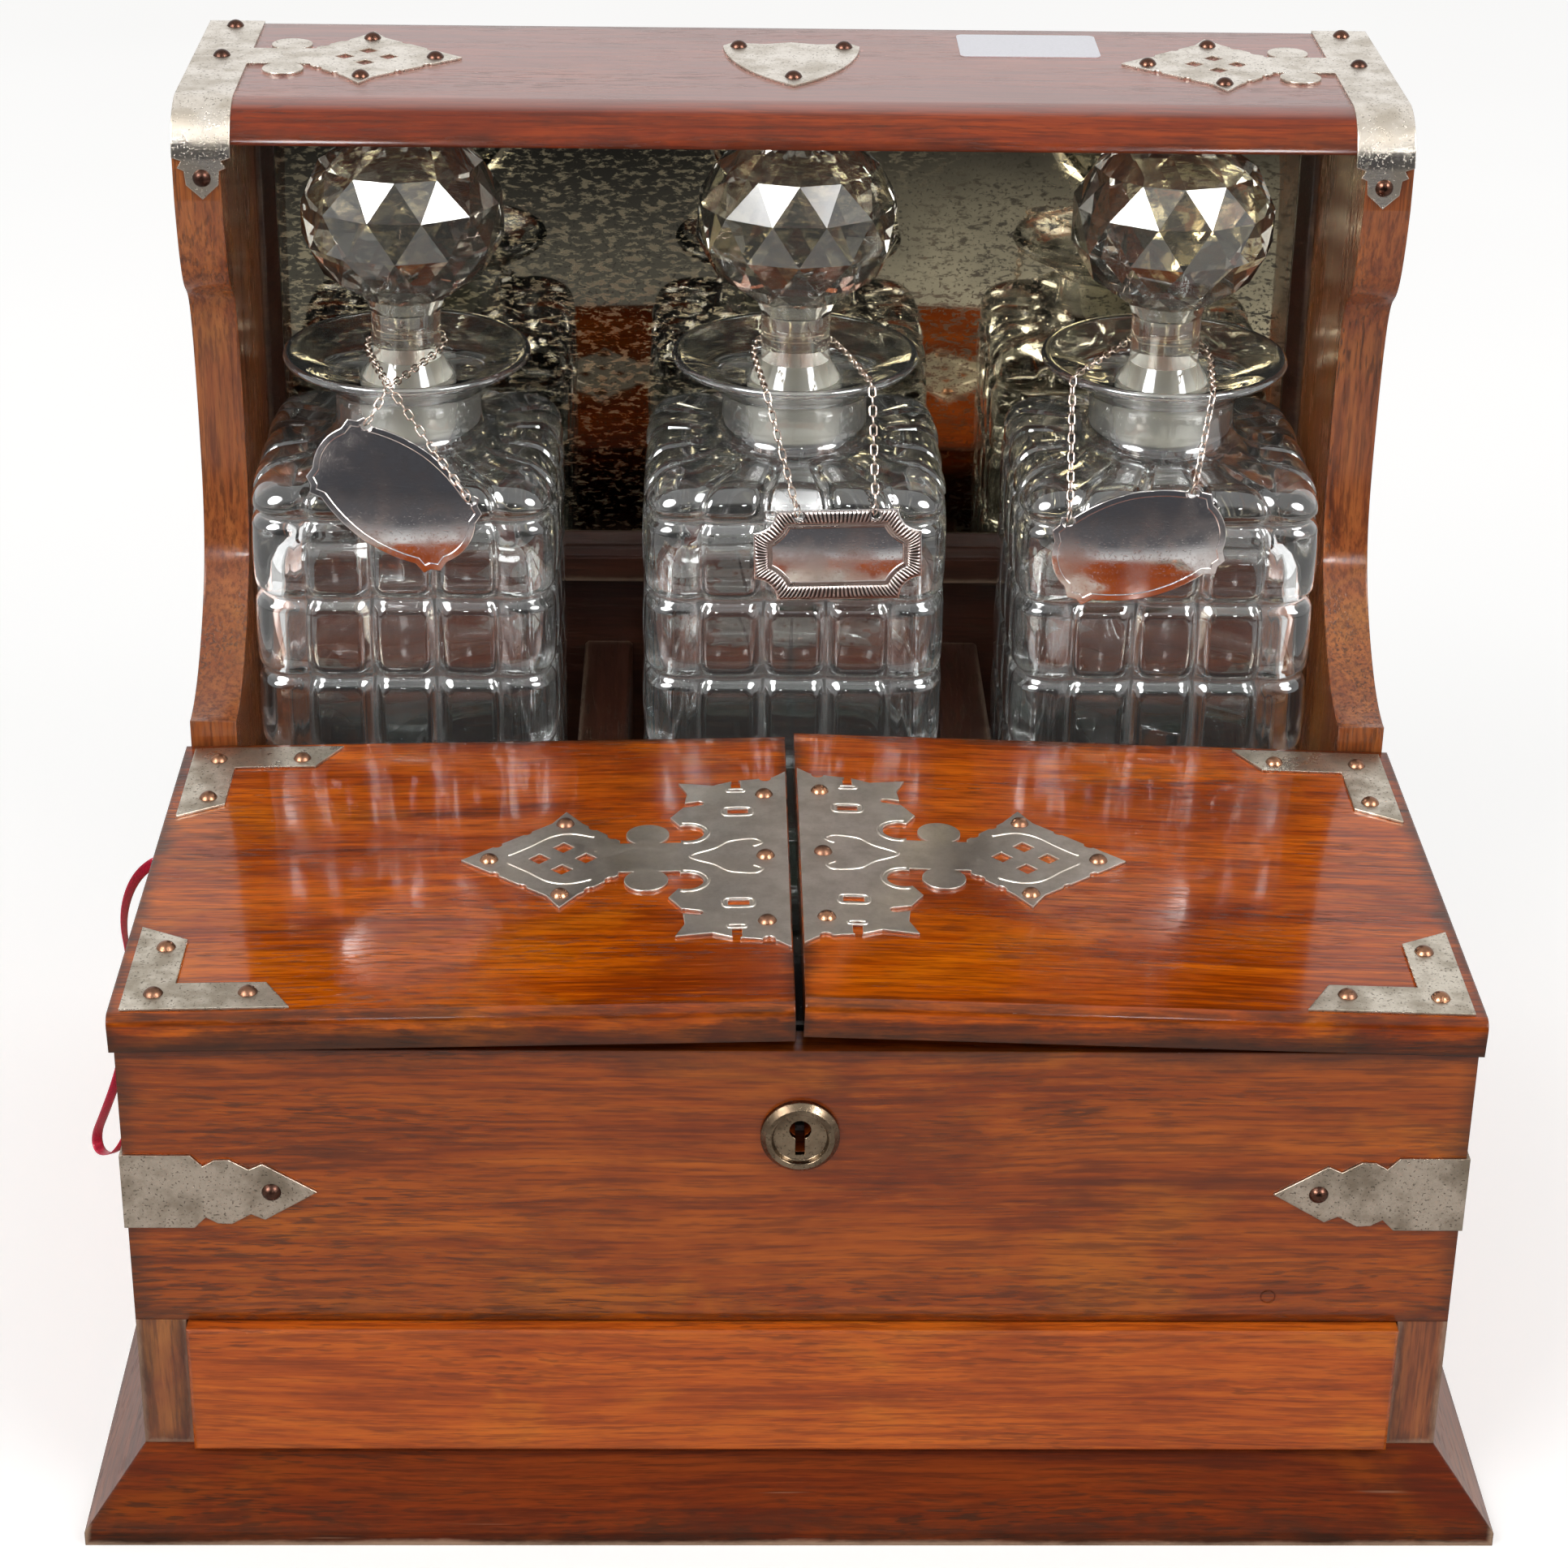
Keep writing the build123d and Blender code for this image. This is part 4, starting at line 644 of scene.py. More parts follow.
@dataclass(frozen=True)
class FoxedMirror:
    """Old silvered glass, clouded and spotted where the silver has gone."""

    silver: Colour = (0.44, 0.38, 0.24)
    bare: Colour = (0.035, 0.032, 0.022)

    def material(self, name: str) -> bpy.types.Material:
        """Makes the finish.

        Short dashes come from a noise drawn out sideways and cut by a threshold. They are dark on silver, and
        towards the left, where most of the silver has gone, they are the silver left on dark. A second noise
        says where they crowd, and a third darkens whole stretches.

        Args:
            name: The material's name.

        Returns:
            The material.
        """
        r = Recipe(name)
        point = r.point()
        dash = r.noise(r.placed(point, scale=(260.0, 1.0, 620.0)), 1.0, 4.0, 0.65, 0.4)
        blot = r.noise(r.placed(point, scale=(900.0, 1.0, 1000.0), move=(3.0, 0.0, 1.0)), 1.0, 2.0, 0.5)
        crowd = r.noise(r.placed(point, scale=(9.0, 1.0, 9.0), move=(1.7, 0.0, 4.0)), 1.0, 3.0, 0.6)
        cloud = r.noise(r.placed(point, scale=(16.0, 1.0, 30.0)), 1.0, 4.0, 0.6)
        gone = r.calc("MAXIMUM", r.span(dash, 0.5, 0.62), r.span(blot, 0.58, 0.66, 0.0, 0.8))
        gone = r.calc("MULTIPLY", gone, r.span(crowd, 0.34, 0.6, 0.35, 0.95))
        tone = r.ramp(cloud, (0.3, scaled(self.silver, 0.45)), (0.62, self.silver))
        across = r.put("SeparateXYZ", 0, {0: point})
        worse = r.span(r.calc("MULTIPLY_ADD", crowd, -0.16, across), 0.0, -0.1)
        flecks = r.mix(r.span(dash, 0.5, 0.6), self.bare, scaled(self.silver, 0.75))
        colour = r.mix(r.calc("MULTIPLY", worse, 0.9), r.mix(gone, tone, self.bare), flecks)
        rough = r.calc("MULTIPLY_ADD", gone, 0.25, 0.03)
        return r.surface(r.principled(Base_Color=colour, Metallic=1.0, Roughness=rough, Coat_Weight=0.6,
                                      Coat_Roughness=0.02))


@dataclass(frozen=True)
class Felt:
    """A thin brushed cloth."""

    colour: Colour
    fuzz: float = 1800.0

    def material(self, name: str) -> bpy.types.Material:
        """Makes the finish, with short fibres in every direction."""
        r = Recipe(name)
        fibre = r.noise(r.point(), self.fuzz, 3.0, 0.7)
        colour = r.ramp(fibre, (0.3, scaled(self.colour, 0.45)), (0.7, self.colour))
        return r.surface(r.principled(Base_Color=colour, Roughness=0.95, Sheen_Weight=0.4,
                                      Normal=r.bump(fibre, 0.0003, 0.5)))


@dataclass(frozen=True)
class Satin:
    """Satin ribbon with a close weave across its width."""

    colour: Colour = (0.7, 0.012, 0.07)

    def material(self, name: str) -> bpy.types.Material:
        """Makes the finish, a fine weave by two crossed noises."""
        r = Recipe(name)
        weave = r.noise(r.placed(r.point(), scale=(2600.0, 700.0, 2600.0)), 1.0, 2.0)
        colour = r.ramp(weave, (0.3, scaled(self.colour, 0.6)), (0.65, self.colour))
        return r.surface(r.principled(Base_Color=colour, Roughness=0.38, Sheen_Weight=0.3,
                                      Normal=r.bump(weave, 0.0001, 0.4)))


@dataclass(frozen=True)
class Paper:
    """A plain stuck-down paper label."""

    colour: Colour = (0.86, 0.86, 0.92)

    def material(self, name: str) -> bpy.types.Material:
        """Makes the finish, with faint pulp."""
        r = Recipe(name)
        pulp = r.noise(r.point(), 1400.0, 4.0, 0.7)
        colour = r.ramp(pulp, (0.2, scaled(self.colour, 0.88)), (0.7, self.colour))
        return r.surface(r.principled(Base_Color=colour, Roughness=0.45, Normal=r.bump(pulp, 0.00004, 0.4)))


# ---------------------------------------------------------------- finishes

CASE_OAK = Oak(light=(0.47, 0.105, 0.007), mid=(0.31, 0.054, 0.003), dark=(0.10, 0.020, 0.004), pores=0.6,
               patchy=0.75, shine=0.3, coat=0.2)
LID_OAK = Oak(light=(0.70, 0.142, 0.003), mid=(0.42, 0.064, 0.001), dark=(0.11, 0.018, 0.002), gloss=0.08,
              stain=0.75, reach=5.0, patchy=0.75, coat=0.18, shine=0.2, pores=0.6, under=4.6)
DRAWER_OAK = Oak(light=(0.66, 0.148, 0.011), mid=(0.47, 0.084, 0.006), dark=(0.2, 0.032, 0.004), gloss=0.3,
                 stain=0.25, reach=3.0, patchy=0.5, pores=0.55, shine=0.3, coat=0.2)
PLINTH_OAK = Oak(light=(0.24, 0.042, 0.004), mid=(0.135, 0.019, 0.002), dark=(0.045, 0.008, 0.002), stain=0.8,
                 reach=9.0, rubbed=0.9, patchy=0.6, gloss=0.4, coat=0.0, shine=0.1)
SLOPE_OAK = Oak(light=(0.30, 0.085, 0.030), mid=(0.18, 0.05, 0.018), dark=(0.07, 0.022, 0.010), stain=0.5,
                reach=9.0, rubbed=0.9, patchy=0.5, gloss=0.3, coat=0.5, shine=0.5)
CHEEK_OAK = Oak(light=(0.44, 0.140, 0.036), mid=(0.29, 0.078, 0.022), dark=(0.09, 0.026, 0.012), stain=0.6,
                reach=5.0, rubbed=0.5, coat=0.2)
# the canopy's top carries a painted sheen
CANOPY_OAK = Oak(light=(0.37, 0.054, 0.006), mid=(0.23, 0.028, 0.004), dark=(0.10, 0.014, 0.003), stain=0.6,
                 reach=6.0, shine=0.22, coat=0.25, pores=0.6, painted_sheen=0.32)
INNER_OAK = Oak(light=(0.05, 0.015, 0.008), mid=(0.03, 0.009, 0.005), dark=(0.014, 0.005, 0.003), stain=0.5,
                rubbed=0.25, gloss=0.3, coat=0.1, shine=0.3)
NICKEL = WornMetal(face=(0.62, 0.56, 0.47), tarnish=(0.36, 0.31, 0.24))
PALE_NICKEL = WornMetal(face=(0.76, 0.7, 0.62), tarnish=(0.52, 0.46, 0.38), rough=0.26)
BRIDGE_NICKEL = WornMetal(face=(0.66, 0.61, 0.55), tarnish=(0.48, 0.43, 0.37), rough=0.38, specks=0.1,
                          marks=0.3, dents=0.1)
FRONT_NICKEL = WornMetal(face=(0.5, 0.42, 0.34), tarnish=(0.27, 0.22, 0.165))
BRONZE = WornMetal(face=(0.105, 0.048, 0.032), tarnish=(0.055, 0.027, 0.02), rough=0.26, specks=0.4,
                   edge=0.0002)
COPPER = WornMetal(face=(0.3, 0.145, 0.08), tarnish=(0.16, 0.08, 0.05), rough=0.3, specks=0.4, edge=0.0002)
RUBBED_NICKEL = WornMetal(face=(0.24, 0.18, 0.12), tarnish=(0.1, 0.07, 0.045), rough=0.22, specks=0.4)
OLD_BRASS = WornMetal(face=(0.55, 0.42, 0.2), tarnish=(0.26, 0.18, 0.08), rough=0.35)
LOCK_STEEL = WornMetal(face=(0.35, 0.34, 0.33), tarnish=(0.16, 0.15, 0.14), rough=0.4)
SILVER = WornMetal(face=(0.86, 0.83, 0.82), tarnish=(0.74, 0.67, 0.64), rough=0.11, specks=0.1, edge=0.0003,
                   marks=0.12, dents=0.12)
CHAIN_SILVER = WornMetal(face=(0.72, 0.62, 0.55), tarnish=(0.42, 0.33, 0.27), rough=0.2, specks=0.0,
                         edge=0.0001)
BORDER_SILVER = WornMetal(face=(0.42, 0.37, 0.35), tarnish=(0.3, 0.25, 0.23), rough=0.28, specks=0.1,
                          edge=0.0001, dents=0.3, hollow="hollow")
DECANTER_CRYSTAL = Crystal(bend=1.56, veil=0.012, groove_highlight=0.1)
STOPPER_CRYSTAL = Crystal(tint=(1.0, 0.96, 0.82), bend=1.6, veil=0.02, ground=(225.5, 243.2))
GROUND_CRYSTAL = Crystal(ground=(0.0, 400.0))


# ---------------------------------------------------------------- the studio


@dataclass
class Studio:
    """The camera, the lamps, the pale floor and what surrounds them.

    A spot is a bright patch that only gloss and glass show: its direction, half width in degrees and
    strength.
    """

    place: Colour = (-23.27, -893.81, 599.39)
    yaw: float = 1.382
    pitch: float = 26.62
    roll: float = 0.904
    lens: float = 81.92
    spots: tuple[tuple[Colour, float, float], ...] = (
        ((-0.62, -0.55, 0.62), 17.0, 26.0),
        ((0.66, -0.5, 0.62), 15.0, 22.0),
        ((-0.103, -0.834, 0.453), 1.3, 70.0),
        ((0.148, -0.849, 0.449), 1.3, 70.0))

    def camera(self) -> bpy.types.Object:
        """Aims the camera by its yaw, downward pitch and roll, and returns it."""
        psi, theta, rho = (math.radians(a) for a in (self.yaw, self.pitch, self.roll))
        ahead = Vector((math.sin(psi) * math.cos(theta), math.cos(psi) * math.cos(theta), -math.sin(theta)))
        flat = Vector((math.cos(psi), -math.sin(psi), 0.0))
        over = flat.cross(ahead)
        right = math.cos(rho) * flat + math.sin(rho) * over
        up = -math.sin(rho) * flat + math.cos(rho) * over
        data = bpy.data.cameras.new("camera")
        data.lens = self.lens
        data.sensor_width = 36.0
        data.clip_start, data.clip_end = 0.02, 40.0
        camera = bpy.data.objects.new("camera", data)
        turned = Matrix((right, up, -ahead)).transposed().to_4x4()
        camera.matrix_world = Matrix.Translation(Vector(self.place) * MM) @ turned
        bpy.context.scene.collection.objects.link(camera)
        bpy.context.scene.camera = camera
        return camera

    def lamp(self, name: str, place: Colour, aim: Colour, size: float, power: float) -> None:
        """Hangs one square soft lamp, aimed at a point, with places in metres."""
        data = bpy.data.lights.new(name, "AREA")
        data.shape = "SQUARE"
        data.size = size
        data.energy = power
        lamp = bpy.data.objects.new(name, data)
        lamp.visible_glossy = False
        lamp.location = place
        lamp.rotation_euler = (Vector(aim) - Vector(place)).to_track_quat("-Z", "Y").to_euler()
        bpy.context.scene.collection.objects.link(lamp)

    def floor(self) -> bpy.types.Object:
        """Lays the pale floor, whose shadows show softly on white, and returns it."""
        points = np.array([(x, y, 0.0) for x, y in ((-4e3, -4e3), (4e3, -4e3), (4e3, 4e3), (-4e3, 4e3))])
        floor = make_object("floor", points, np.array([[0, 1, 2, 3]]), closed=False)
        r = Recipe("floor_white")
        point = r.point()
        cloud = r.noise(point, 3.0, 2.0)
        tone = r.ramp(cloud, (0.2, (0.8, 0.8, 0.8)), (0.8, (0.84, 0.84, 0.84)))
        plain = r.put("BsdfDiffuse", 0, {"Color": tone})
        glow = r.put("Emission", 0, {"Color": (1.0, 1.0, 1.0), "Strength": 0.42})
        lifted = r.put("AddShader", 0, {0: plain, 1: glow})
        ahead = r.put("SeparateXYZ", 1, {0: point})
        shade = r.span(ahead, -0.55, -0.9)
        mirrored = r.put("BsdfDiffuse", 0, {"Color": r.mix(shade, tone, (0.11, 0.11, 0.12))})
        path = r.put("LightPath", 0).node.outputs
        seen = r.put("MixShader", 0, {0: path["Is Camera Ray"], 1: plain, 2: lifted})
        bright = r.calc("MAXIMUM", path["Is Glossy Ray"], path["Is Transmission Ray"])
        floor.data.materials.append(r.surface(r.put("MixShader", 0, {0: bright, 1: seen, 2: mirrored})))
        return floor

    def surroundings(self) -> None:
        """Fills the world: white where it is seen, soft light elsewhere, dim low down behind the camera."""
        world = bpy.data.worlds.new("surroundings")
        bpy.context.scene.world = world
        r = Recipe(world)
        way = r.put("TexCoord", "Generated")
        parts = r.put("SeparateXYZ", 0, {0: way}).node.outputs
        front = r.span(parts[1], -0.72, -0.9)
        low = r.span(parts[2], 0.68, 0.56)
        dim = r.calc("MULTIPLY", front, low)
        shine = r.mix(dim, (1.0, 1.0, 1.0), (0.06, 0.062, 0.07))
        for direction, wide, strength in self.spots:
            aim = r.put("VectorMath", "Value", {0: way, 1: tuple(Vector(direction).normalized())},
                        operation="DOT_PRODUCT")
            near, far = math.cos(math.radians(0.6 * wide)), math.cos(math.radians(wide))
            shine = r.mix(r.span(aim, far, near), shine, (strength, strength, strength))
        path = r.put("LightPath", 0).node.outputs
        camera = r.put("Background", 0, {"Color": (1.0, 1.0, 1.0), "Strength": 1.0})
        glossy = r.put("Background", 0, {"Color": shine, "Strength": 1.05})
        soft = r.put("Background", 0, {"Color": (1.0, 0.99, 0.97), "Strength": 0.55})
        bright = r.calc("MAXIMUM", path["Is Glossy Ray"], path["Is Transmission Ray"])
        lit = r.put("MixShader", 0, {0: bright, 1: soft, 2: glossy})
        r.surface(r.put("MixShader", 0, {0: path["Is Camera Ray"], 1: lit, 2: camera}))

    def build(self) -> None:
        """Sets up the whole studio."""
        bpy.context.scene.view_settings.view_transform = "Standard"
        self.camera()
        self.surroundings()
        self.floor()
        self.lamp("key_lamp", (-1.1, -1.2, 1.7), (0.0, 0.0, 0.15), 1.0, 13.0)
        self.lamp("fill_lamp", (1.2, -1.1, 1.6), (0.0, 0.0, 0.15), 0.9, 9.0)
        LOG.info("studio set up")


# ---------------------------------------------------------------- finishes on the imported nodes


@dataclass(frozen=True)
class HungLabel:
    """Where one bottle label hangs, tilted and leaning by degrees, and how its chain goes over the lip.

    The rim offsets are how far to the side of the neck the chain's two runs cross the rim, the second lift is
    how much higher the second run lies where the runs cross each other, and way says on which side of the
    stopper's stem the first run passes.
    """

    name: str
    neck_x: float
    centre: Colour
    tilt: float
    lean: float
    hole: tuple[float, float]
    rim_offsets: tuple[float, float]
    second_lift: float = 0.0
    way: int = -1
    neck_y: float = 80.0
    rim_reach: float = 37.3
    rim_height: float = 252.2
    wrap_height: float = 252.4
    wrap: tuple[tuple[float, float], ...] = ((13.0, 81.0), (7.0, 92.0), (-7.0, 92.0), (-13.0, 81.0))

    def axes(self) -> np.ndarray:
        """Returns the label's own right, up and front directions, one row each."""
        tilt, lean = math.radians(self.tilt), math.radians(self.lean)
        right = np.array([math.cos(tilt), math.sin(tilt) * math.sin(lean), math.sin(tilt) * math.cos(lean)])
        front = np.array([0.0, -math.cos(lean), math.sin(lean)])
        return np.array([right, np.cross(front, right), front])

    def at(self, local: np.ndarray) -> np.ndarray:
        """Returns points of the label's own frame in the object's frame."""
        return np.array(self.centre) + np.asarray(local) @ self.axes()

    def holes(self) -> list[np.ndarray]:
        """Returns the middle of each of the two holes."""
        return [self.at(np.array([x, self.hole[1], -0.25])) for x in (-self.hole[0], self.hole[0])]

    def turns(self) -> list[np.ndarray]:
        """Returns the control points of the chain's line, from the first hole to the second.

        They are each run's start by its jump ring, the rim with a point a little before and after it, and the
        four points round the back of the stopper's stem.
        """
        near_rim, ring_reach, ring_start, ring_out = 6.5, 3.8, 3.5, 2.2
        holes, front = self.holes(), self.axes()[2]
        rims = []
        for offset, lift in zip(self.rim_offsets, (0.0, self.second_lift)):
            depth = math.sqrt((self.rim_reach + lift) ** 2 - offset ** 2)
            rims.append(np.array([self.neck_x + offset, self.neck_y - depth, self.rim_height + lift]))
        wraps = [np.array([self.neck_x + self.way * x, y, self.wrap_height]) for x, y in self.wrap]
        runs = []
        for hole, rim, wrap in zip(holes, rims, (wraps[0], wraps[-1])):
            end = hole + unit(rim - hole) * ring_reach + front * ring_out
            before, after = (rim + unit(other - rim) * near_rim for other in (end, wrap))
            runs.append([hole + unit(end - hole) * ring_start, end, before, rim, after])
        return [*runs[0], *wraps, *reversed(runs[1])]


LABELS = (
    HungLabel("left", -110.0, (-111.0, 34.6, 223.5), -36.0, 9.0, (17.7, 11.6), (-2.5, -2.5), 2.3, 1),
    HungLabel("middle", 1.5, (13.2, 33.3, 207.0), 1.6, 4.0, (10.8, 11.6), (-9.0, 20.9)),
    HungLabel("right", 108.0, (98.0, 33.2, 210.3), 14.0, 5.0, (17.7, 11.6), (-28.7, 9.6)),
)


@dataclass
class Dresser:
    """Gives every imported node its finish."""

    def dress(self, node: str, material: bpy.types.Material) -> None:
        """Puts one material on a node."""
        piece = frame["nodes"][node]
        piece.data.materials.clear()
        piece.data.materials.append(material)

    def board_of(self, node: str, turn: float = 0.0, pivot: Colour = (0.0, 0.0, 0.0)) -> Board:
        """Measures a node's box in its own frame, turned back about the depth axis through the pivot."""
        data = frame["nodes"][node].data
        points = np.empty(len(data.vertices) * 3, np.float32)
        data.vertices.foreach_get("co", points)
        local = (points.reshape(-1, 3) / MM - np.array(pivot)) @ np.array(Matrix.Rotation(-turn, 3, "Y")).T
        return Board(tuple(local.min(0)), tuple(local.max(0)), turn, pivot)

    def timber(self) -> None:
        """Finishes every board with its own edges and grain."""
        plan: list[tuple[Oak, Grain, tuple[str, ...]]] = [
            (CASE_OAK, Grain.ACROSS, ("front_panel",)),
            (DRAWER_OAK, Grain.ACROSS, ("drawer_front",)),
            (PLINTH_OAK, Grain.ACROSS, ("plinth_front", "plinth_back")),
            (SLOPE_OAK, Grain.DEEP, ("plinth_sides",)),
            (CHEEK_OAK, Grain.UPRIGHT, ("side_left", "side_right")),
            (CANOPY_OAK, Grain.ACROSS, ("canopy_board",)),
            (INNER_OAK, Grain.ACROSS, ("deck_board", "back_panel", "mirror_rail", "mirror_beads")),
            (INNER_OAK, Grain.DEEP, ("dividers",)),
        ]
        for finish, grain, nodes in plan:
            for node in nodes:
                self.dress(node, finish.material("oak_" + node, grain, self.board_of(node)))
        for name, side in SIDES.items():
            turn = side * math.radians(LID_AJAR[name])
            board = self.board_of(f"lid_board_{name}", turn, tuple(hinge_place(name)))
            self.dress(f"lid_board_{name}", LID_OAK.material(f"oak_lid_{name}", Grain.ACROSS, board))
        for node, grain in (("base_board", Grain.ACROSS), ("drawer_sides", Grain.DEEP),
                            ("drawer_back", Grain.ACROSS), ("drawer_bottom", Grain.ACROSS)):
            self.dress(node, PlainOak().material("plain_" + node, grain))

    def metal(self) -> None:
        """Finishes the straps, rivets, locks, hinges and handles."""
        plan: list[tuple[str, WornMetal, tuple[str, ...]]] = [
            ("nickel", NICKEL, ("lid_corners_left", "lid_corners_right", "handle_posts", "handle_bail_left",
                                "handle_bail_right")),
            ("front_nickel", FRONT_NICKEL, ("front_straps",)),
            ("pale_nickel", PALE_NICKEL, ("canopy_straps", "shield_plaque")),
            ("bridge_nickel", BRIDGE_NICKEL, ("lid_strap_left", "lid_strap_right")),
            ("bronze", BRONZE, ("case_rivets",)),
            ("copper", COPPER, ("lid_rivets_left", "lid_rivets_right")),
            ("rubbed_nickel", RUBBED_NICKEL, ("escutcheon",)),
            ("old_brass", OLD_BRASS, ("lid_hinges_left", "lid_hinges_right", "hinge_case_leaves",
                                      "hinge_pins", "release_pin")),
            ("lock_steel", LOCK_STEEL, ("lock_case", "lock_bolt", "lid_staple_left", "lid_staple_right",
                                        "drawer_spring", "key")),
        ]
        for name, finish, nodes in plan:
            material = finish.material(name)
            for node in nodes:
                self.dress(node, material)
        for label in LABELS:
            self.dress(f"label_{label.name}", SILVER.material(f"silver_{label.name}", label.centre))

    def rest(self) -> None:
        """Finishes the glass, the mirror, the felt and the paper."""
        self.dress("mirror_glass", FoxedMirror().material("foxed_mirror"))
        self.dress("baize_pads", Felt((0.07, 0.12, 0.07)).material("baize"))
        self.dress("paper_label", Paper().material("paper"))
        stopper = STOPPER_CRYSTAL.material("stopper_crystal")
        for name in ("left", "middle", "right"):
            self.dress(f"stopper_{name}", stopper)

    def build(self) -> None:
        """Finishes every node."""
        self.timber()
        self.metal()
        self.rest()
        LOG.info("packed nodes finished")


# ---------------------------------------------------------------- decanters


@dataclass
class Decanter:
    """A square hob-cut decanter with a round neck and a wide lip."""

    name: str
    x: float
    y: float = 80.0
    half: float = 44.0
    bore: float = 13.0
    foot: float = 68.0
    shoulder: float = 225.0
    fillet: float = 9.5
    pitch: float = 19.3
    row_tops: tuple[float, ...] = (67.2, 92.2, 116.4, 140.6, 164.8, 189.0, 213.2, 238.0)
    corner_half: float = 15.5
    groove: float = 2.3
    bevel: float = 2.7
    pillow_corner: float = 4.8
    star: float = 0.9
    crown: float = 1.7
    round_samples: int = 320
    ground_rings: int = 4

    def outer_profile(self) -> np.ndarray:
        """Returns the outer line from the foot to the lip, a row for each ring.

        A row holds the half width, the height, how square the ring is, and the distance climbed up the wall.

        Returns:
            The rows, as an array of four columns.
        """
        rows = [(35.5, 69.2, 1.0), (38.5, 68.3, 1.0), (40.5, 68.0, 1.0), (42.4, 68.5, 1.0), (43.5, 69.8, 1.0)]
        wall = np.arange(71.0, self.shoulder - self.fillet, 1.0)
        rows += [(self.half, z, 1.0) for z in wall]
        for a in np.linspace(0.0, math.pi / 2, 12):
            rows.append((self.half - self.fillet * (1 - math.cos(a)),
                         self.shoulder - self.fillet * (1 - math.sin(a)), 1.0 - 0.35 * a / (math.pi / 2)))
        rows += [(32.0, 225.3, 0.5), (29.0, 225.7, 0.32), (26.0, 226.0, 0.18), (24.0, 226.5, 0.08),
                 (22.4, 227.6, 0.03), (21.3, 229.6, 0.0), (21.0, 232.5, 0.0), (21.0, 236.0, 0.0)]
        t = np.linspace(0.0, 1.0, 14)[1:, None]
        ends = np.array([(21.0, 236.0), (21.0, 242.0), (27.0, 244.0), (34.5, 248.4)])
        curve = ((1 - t) ** 3 * ends[0] + 3 * (1 - t) ** 2 * t * ends[1] + 3 * (1 - t) * t ** 2 * ends[2]
                 + t ** 3 * ends[3])
        rows += [(r, z, 0.0) for r, z in curve]
        rows += [(35.2, 249.0, 0.0), (35.5, 249.8, 0.0), (35.2, 250.6, 0.0), (34.4, 251.0, 0.0)]
        table = np.array(rows)
        step = np.hypot(np.diff(table[:, 0]), np.diff(table[:, 1]))
        return np.column_stack([table, self.foot + np.concatenate([[0.0], np.cumsum(step)]) - 8.0])

    def inner_profile(self) -> np.ndarray:
        """Returns the inner line from the lip down to the floor, as half width, height and squareness."""
        rows = [(33.0, 250.6, 0.0), (28.0, 248.6, 0.0), (20.0, 245.6, 0.0), (14.6, 243.6, 0.0),
                (self.bore, 242.6, 0.0)]
        rows += [(self.bore, z, 0.0) for z in np.linspace(240.0, 225.0, self.ground_rings)]
        rows += [(13.2, 220.0, 0.0), (14.5, 216.5, 0.0), (17.5, 214.2, 0.05), (22.0, 212.8, 0.2),
                 (27.0, 211.6, 0.45), (31.5, 209.8, 0.7), (34.5, 207.2, 0.85), (36.6, 203.8, 0.95),
                 (37.7, 199.5, 1.0)]
        rows += [(38.0, z, 1.0) for z in np.linspace(194.0, 88.0, 24)]
        rows += [(37.4, 84.0, 1.0), (35.6, 80.6, 1.0), (32.6, 78.4, 1.0), (28.0, 77.3, 1.0),
                 (20.0, 77.0, 1.0), (8.0, 77.6, 0.5)]
        return np.array(rows)

    def ring(self, table: np.ndarray) -> tuple[np.ndarray, np.ndarray]:
        """Lays a ring for each row: a superellipse |x|^p + |y|^p = a^p, with p from 2, round, to 8, square.

        Args:
            table: The half width, height and squareness of each ring.

        Returns:
            The reach of each point from the axis, and its angle.
        """
        angle = np.linspace(0.0, 2 * math.pi, self.round_samples, endpoint=False)[None, :]
        power = 2.0 + 6.0 * table[:, 2:3]
        across = np.abs(np.cos(angle)) ** power + np.abs(np.sin(angle)) ** power
        return table[:, 0:1] / across ** (1 / power), np.broadcast_to(angle, across.shape)

    def cuts(self, climb: np.ndarray) -> np.ndarray:
        """Works out how deep the cutting lies below each pillow's top.

        The wall is divided into rows by height climbed, and round it into three columns on each flat and one
        on each corner. In each pillow the depth falls evenly from the groove's depth at its rounded outline
        to nothing over the width of the bevel, so a pillow has flat mitred sides. A star of deeper cutting
        lies where four pillows meet, and the crown lowers each pillow by the square of the distance from its
        middle.

        Args:
            climb: The distance climbed at each ring.

        Returns:
            The depth at each point, in millimetres.
        """
        reach, angle = self.ring(np.array([[self.half, 0.0, 1.0]]))
        x, y = (reach * np.cos(angle))[0], (reach * np.sin(angle))[0]
        away = np.minimum(np.abs(x), np.abs(y))
        edges = np.array([-1.5, -0.5, 0.5, 1.5]) * self.pitch
        on_flat = away < edges[-1]
        signed = np.where(np.abs(x) > np.abs(y), y, x)
        band = np.clip(np.searchsorted(edges, signed) - 1, 0, 2)
        middle = (edges[band] + edges[band + 1]) / 2
        flat_off, flat_half = np.abs(signed - middle), self.pitch / 2
        corner = np.abs(np.mod(angle[0] + math.pi / 4, math.pi / 2) - math.pi / 4)
        start = corner[on_flat].max()
        corner_off = self.corner_half * (1 - (corner - start) / (math.pi / 4 - start))
        s_off = np.where(on_flat, flat_off, np.clip(corner_off, 0.0, self.corner_half))[None, :]
        s_half = np.where(on_flat, flat_half, self.corner_half)[None, :]
        tops = np.array(self.row_tops)
        row = np.clip(np.searchsorted(tops, climb) - 1, 0, len(tops) - 2)
        z_mid, z_half = (tops[row] + tops[row + 1]) / 2, (tops[row + 1] - tops[row]) / 2
        z_off = np.abs(climb - z_mid)[:, None]
        bend = self.pillow_corner
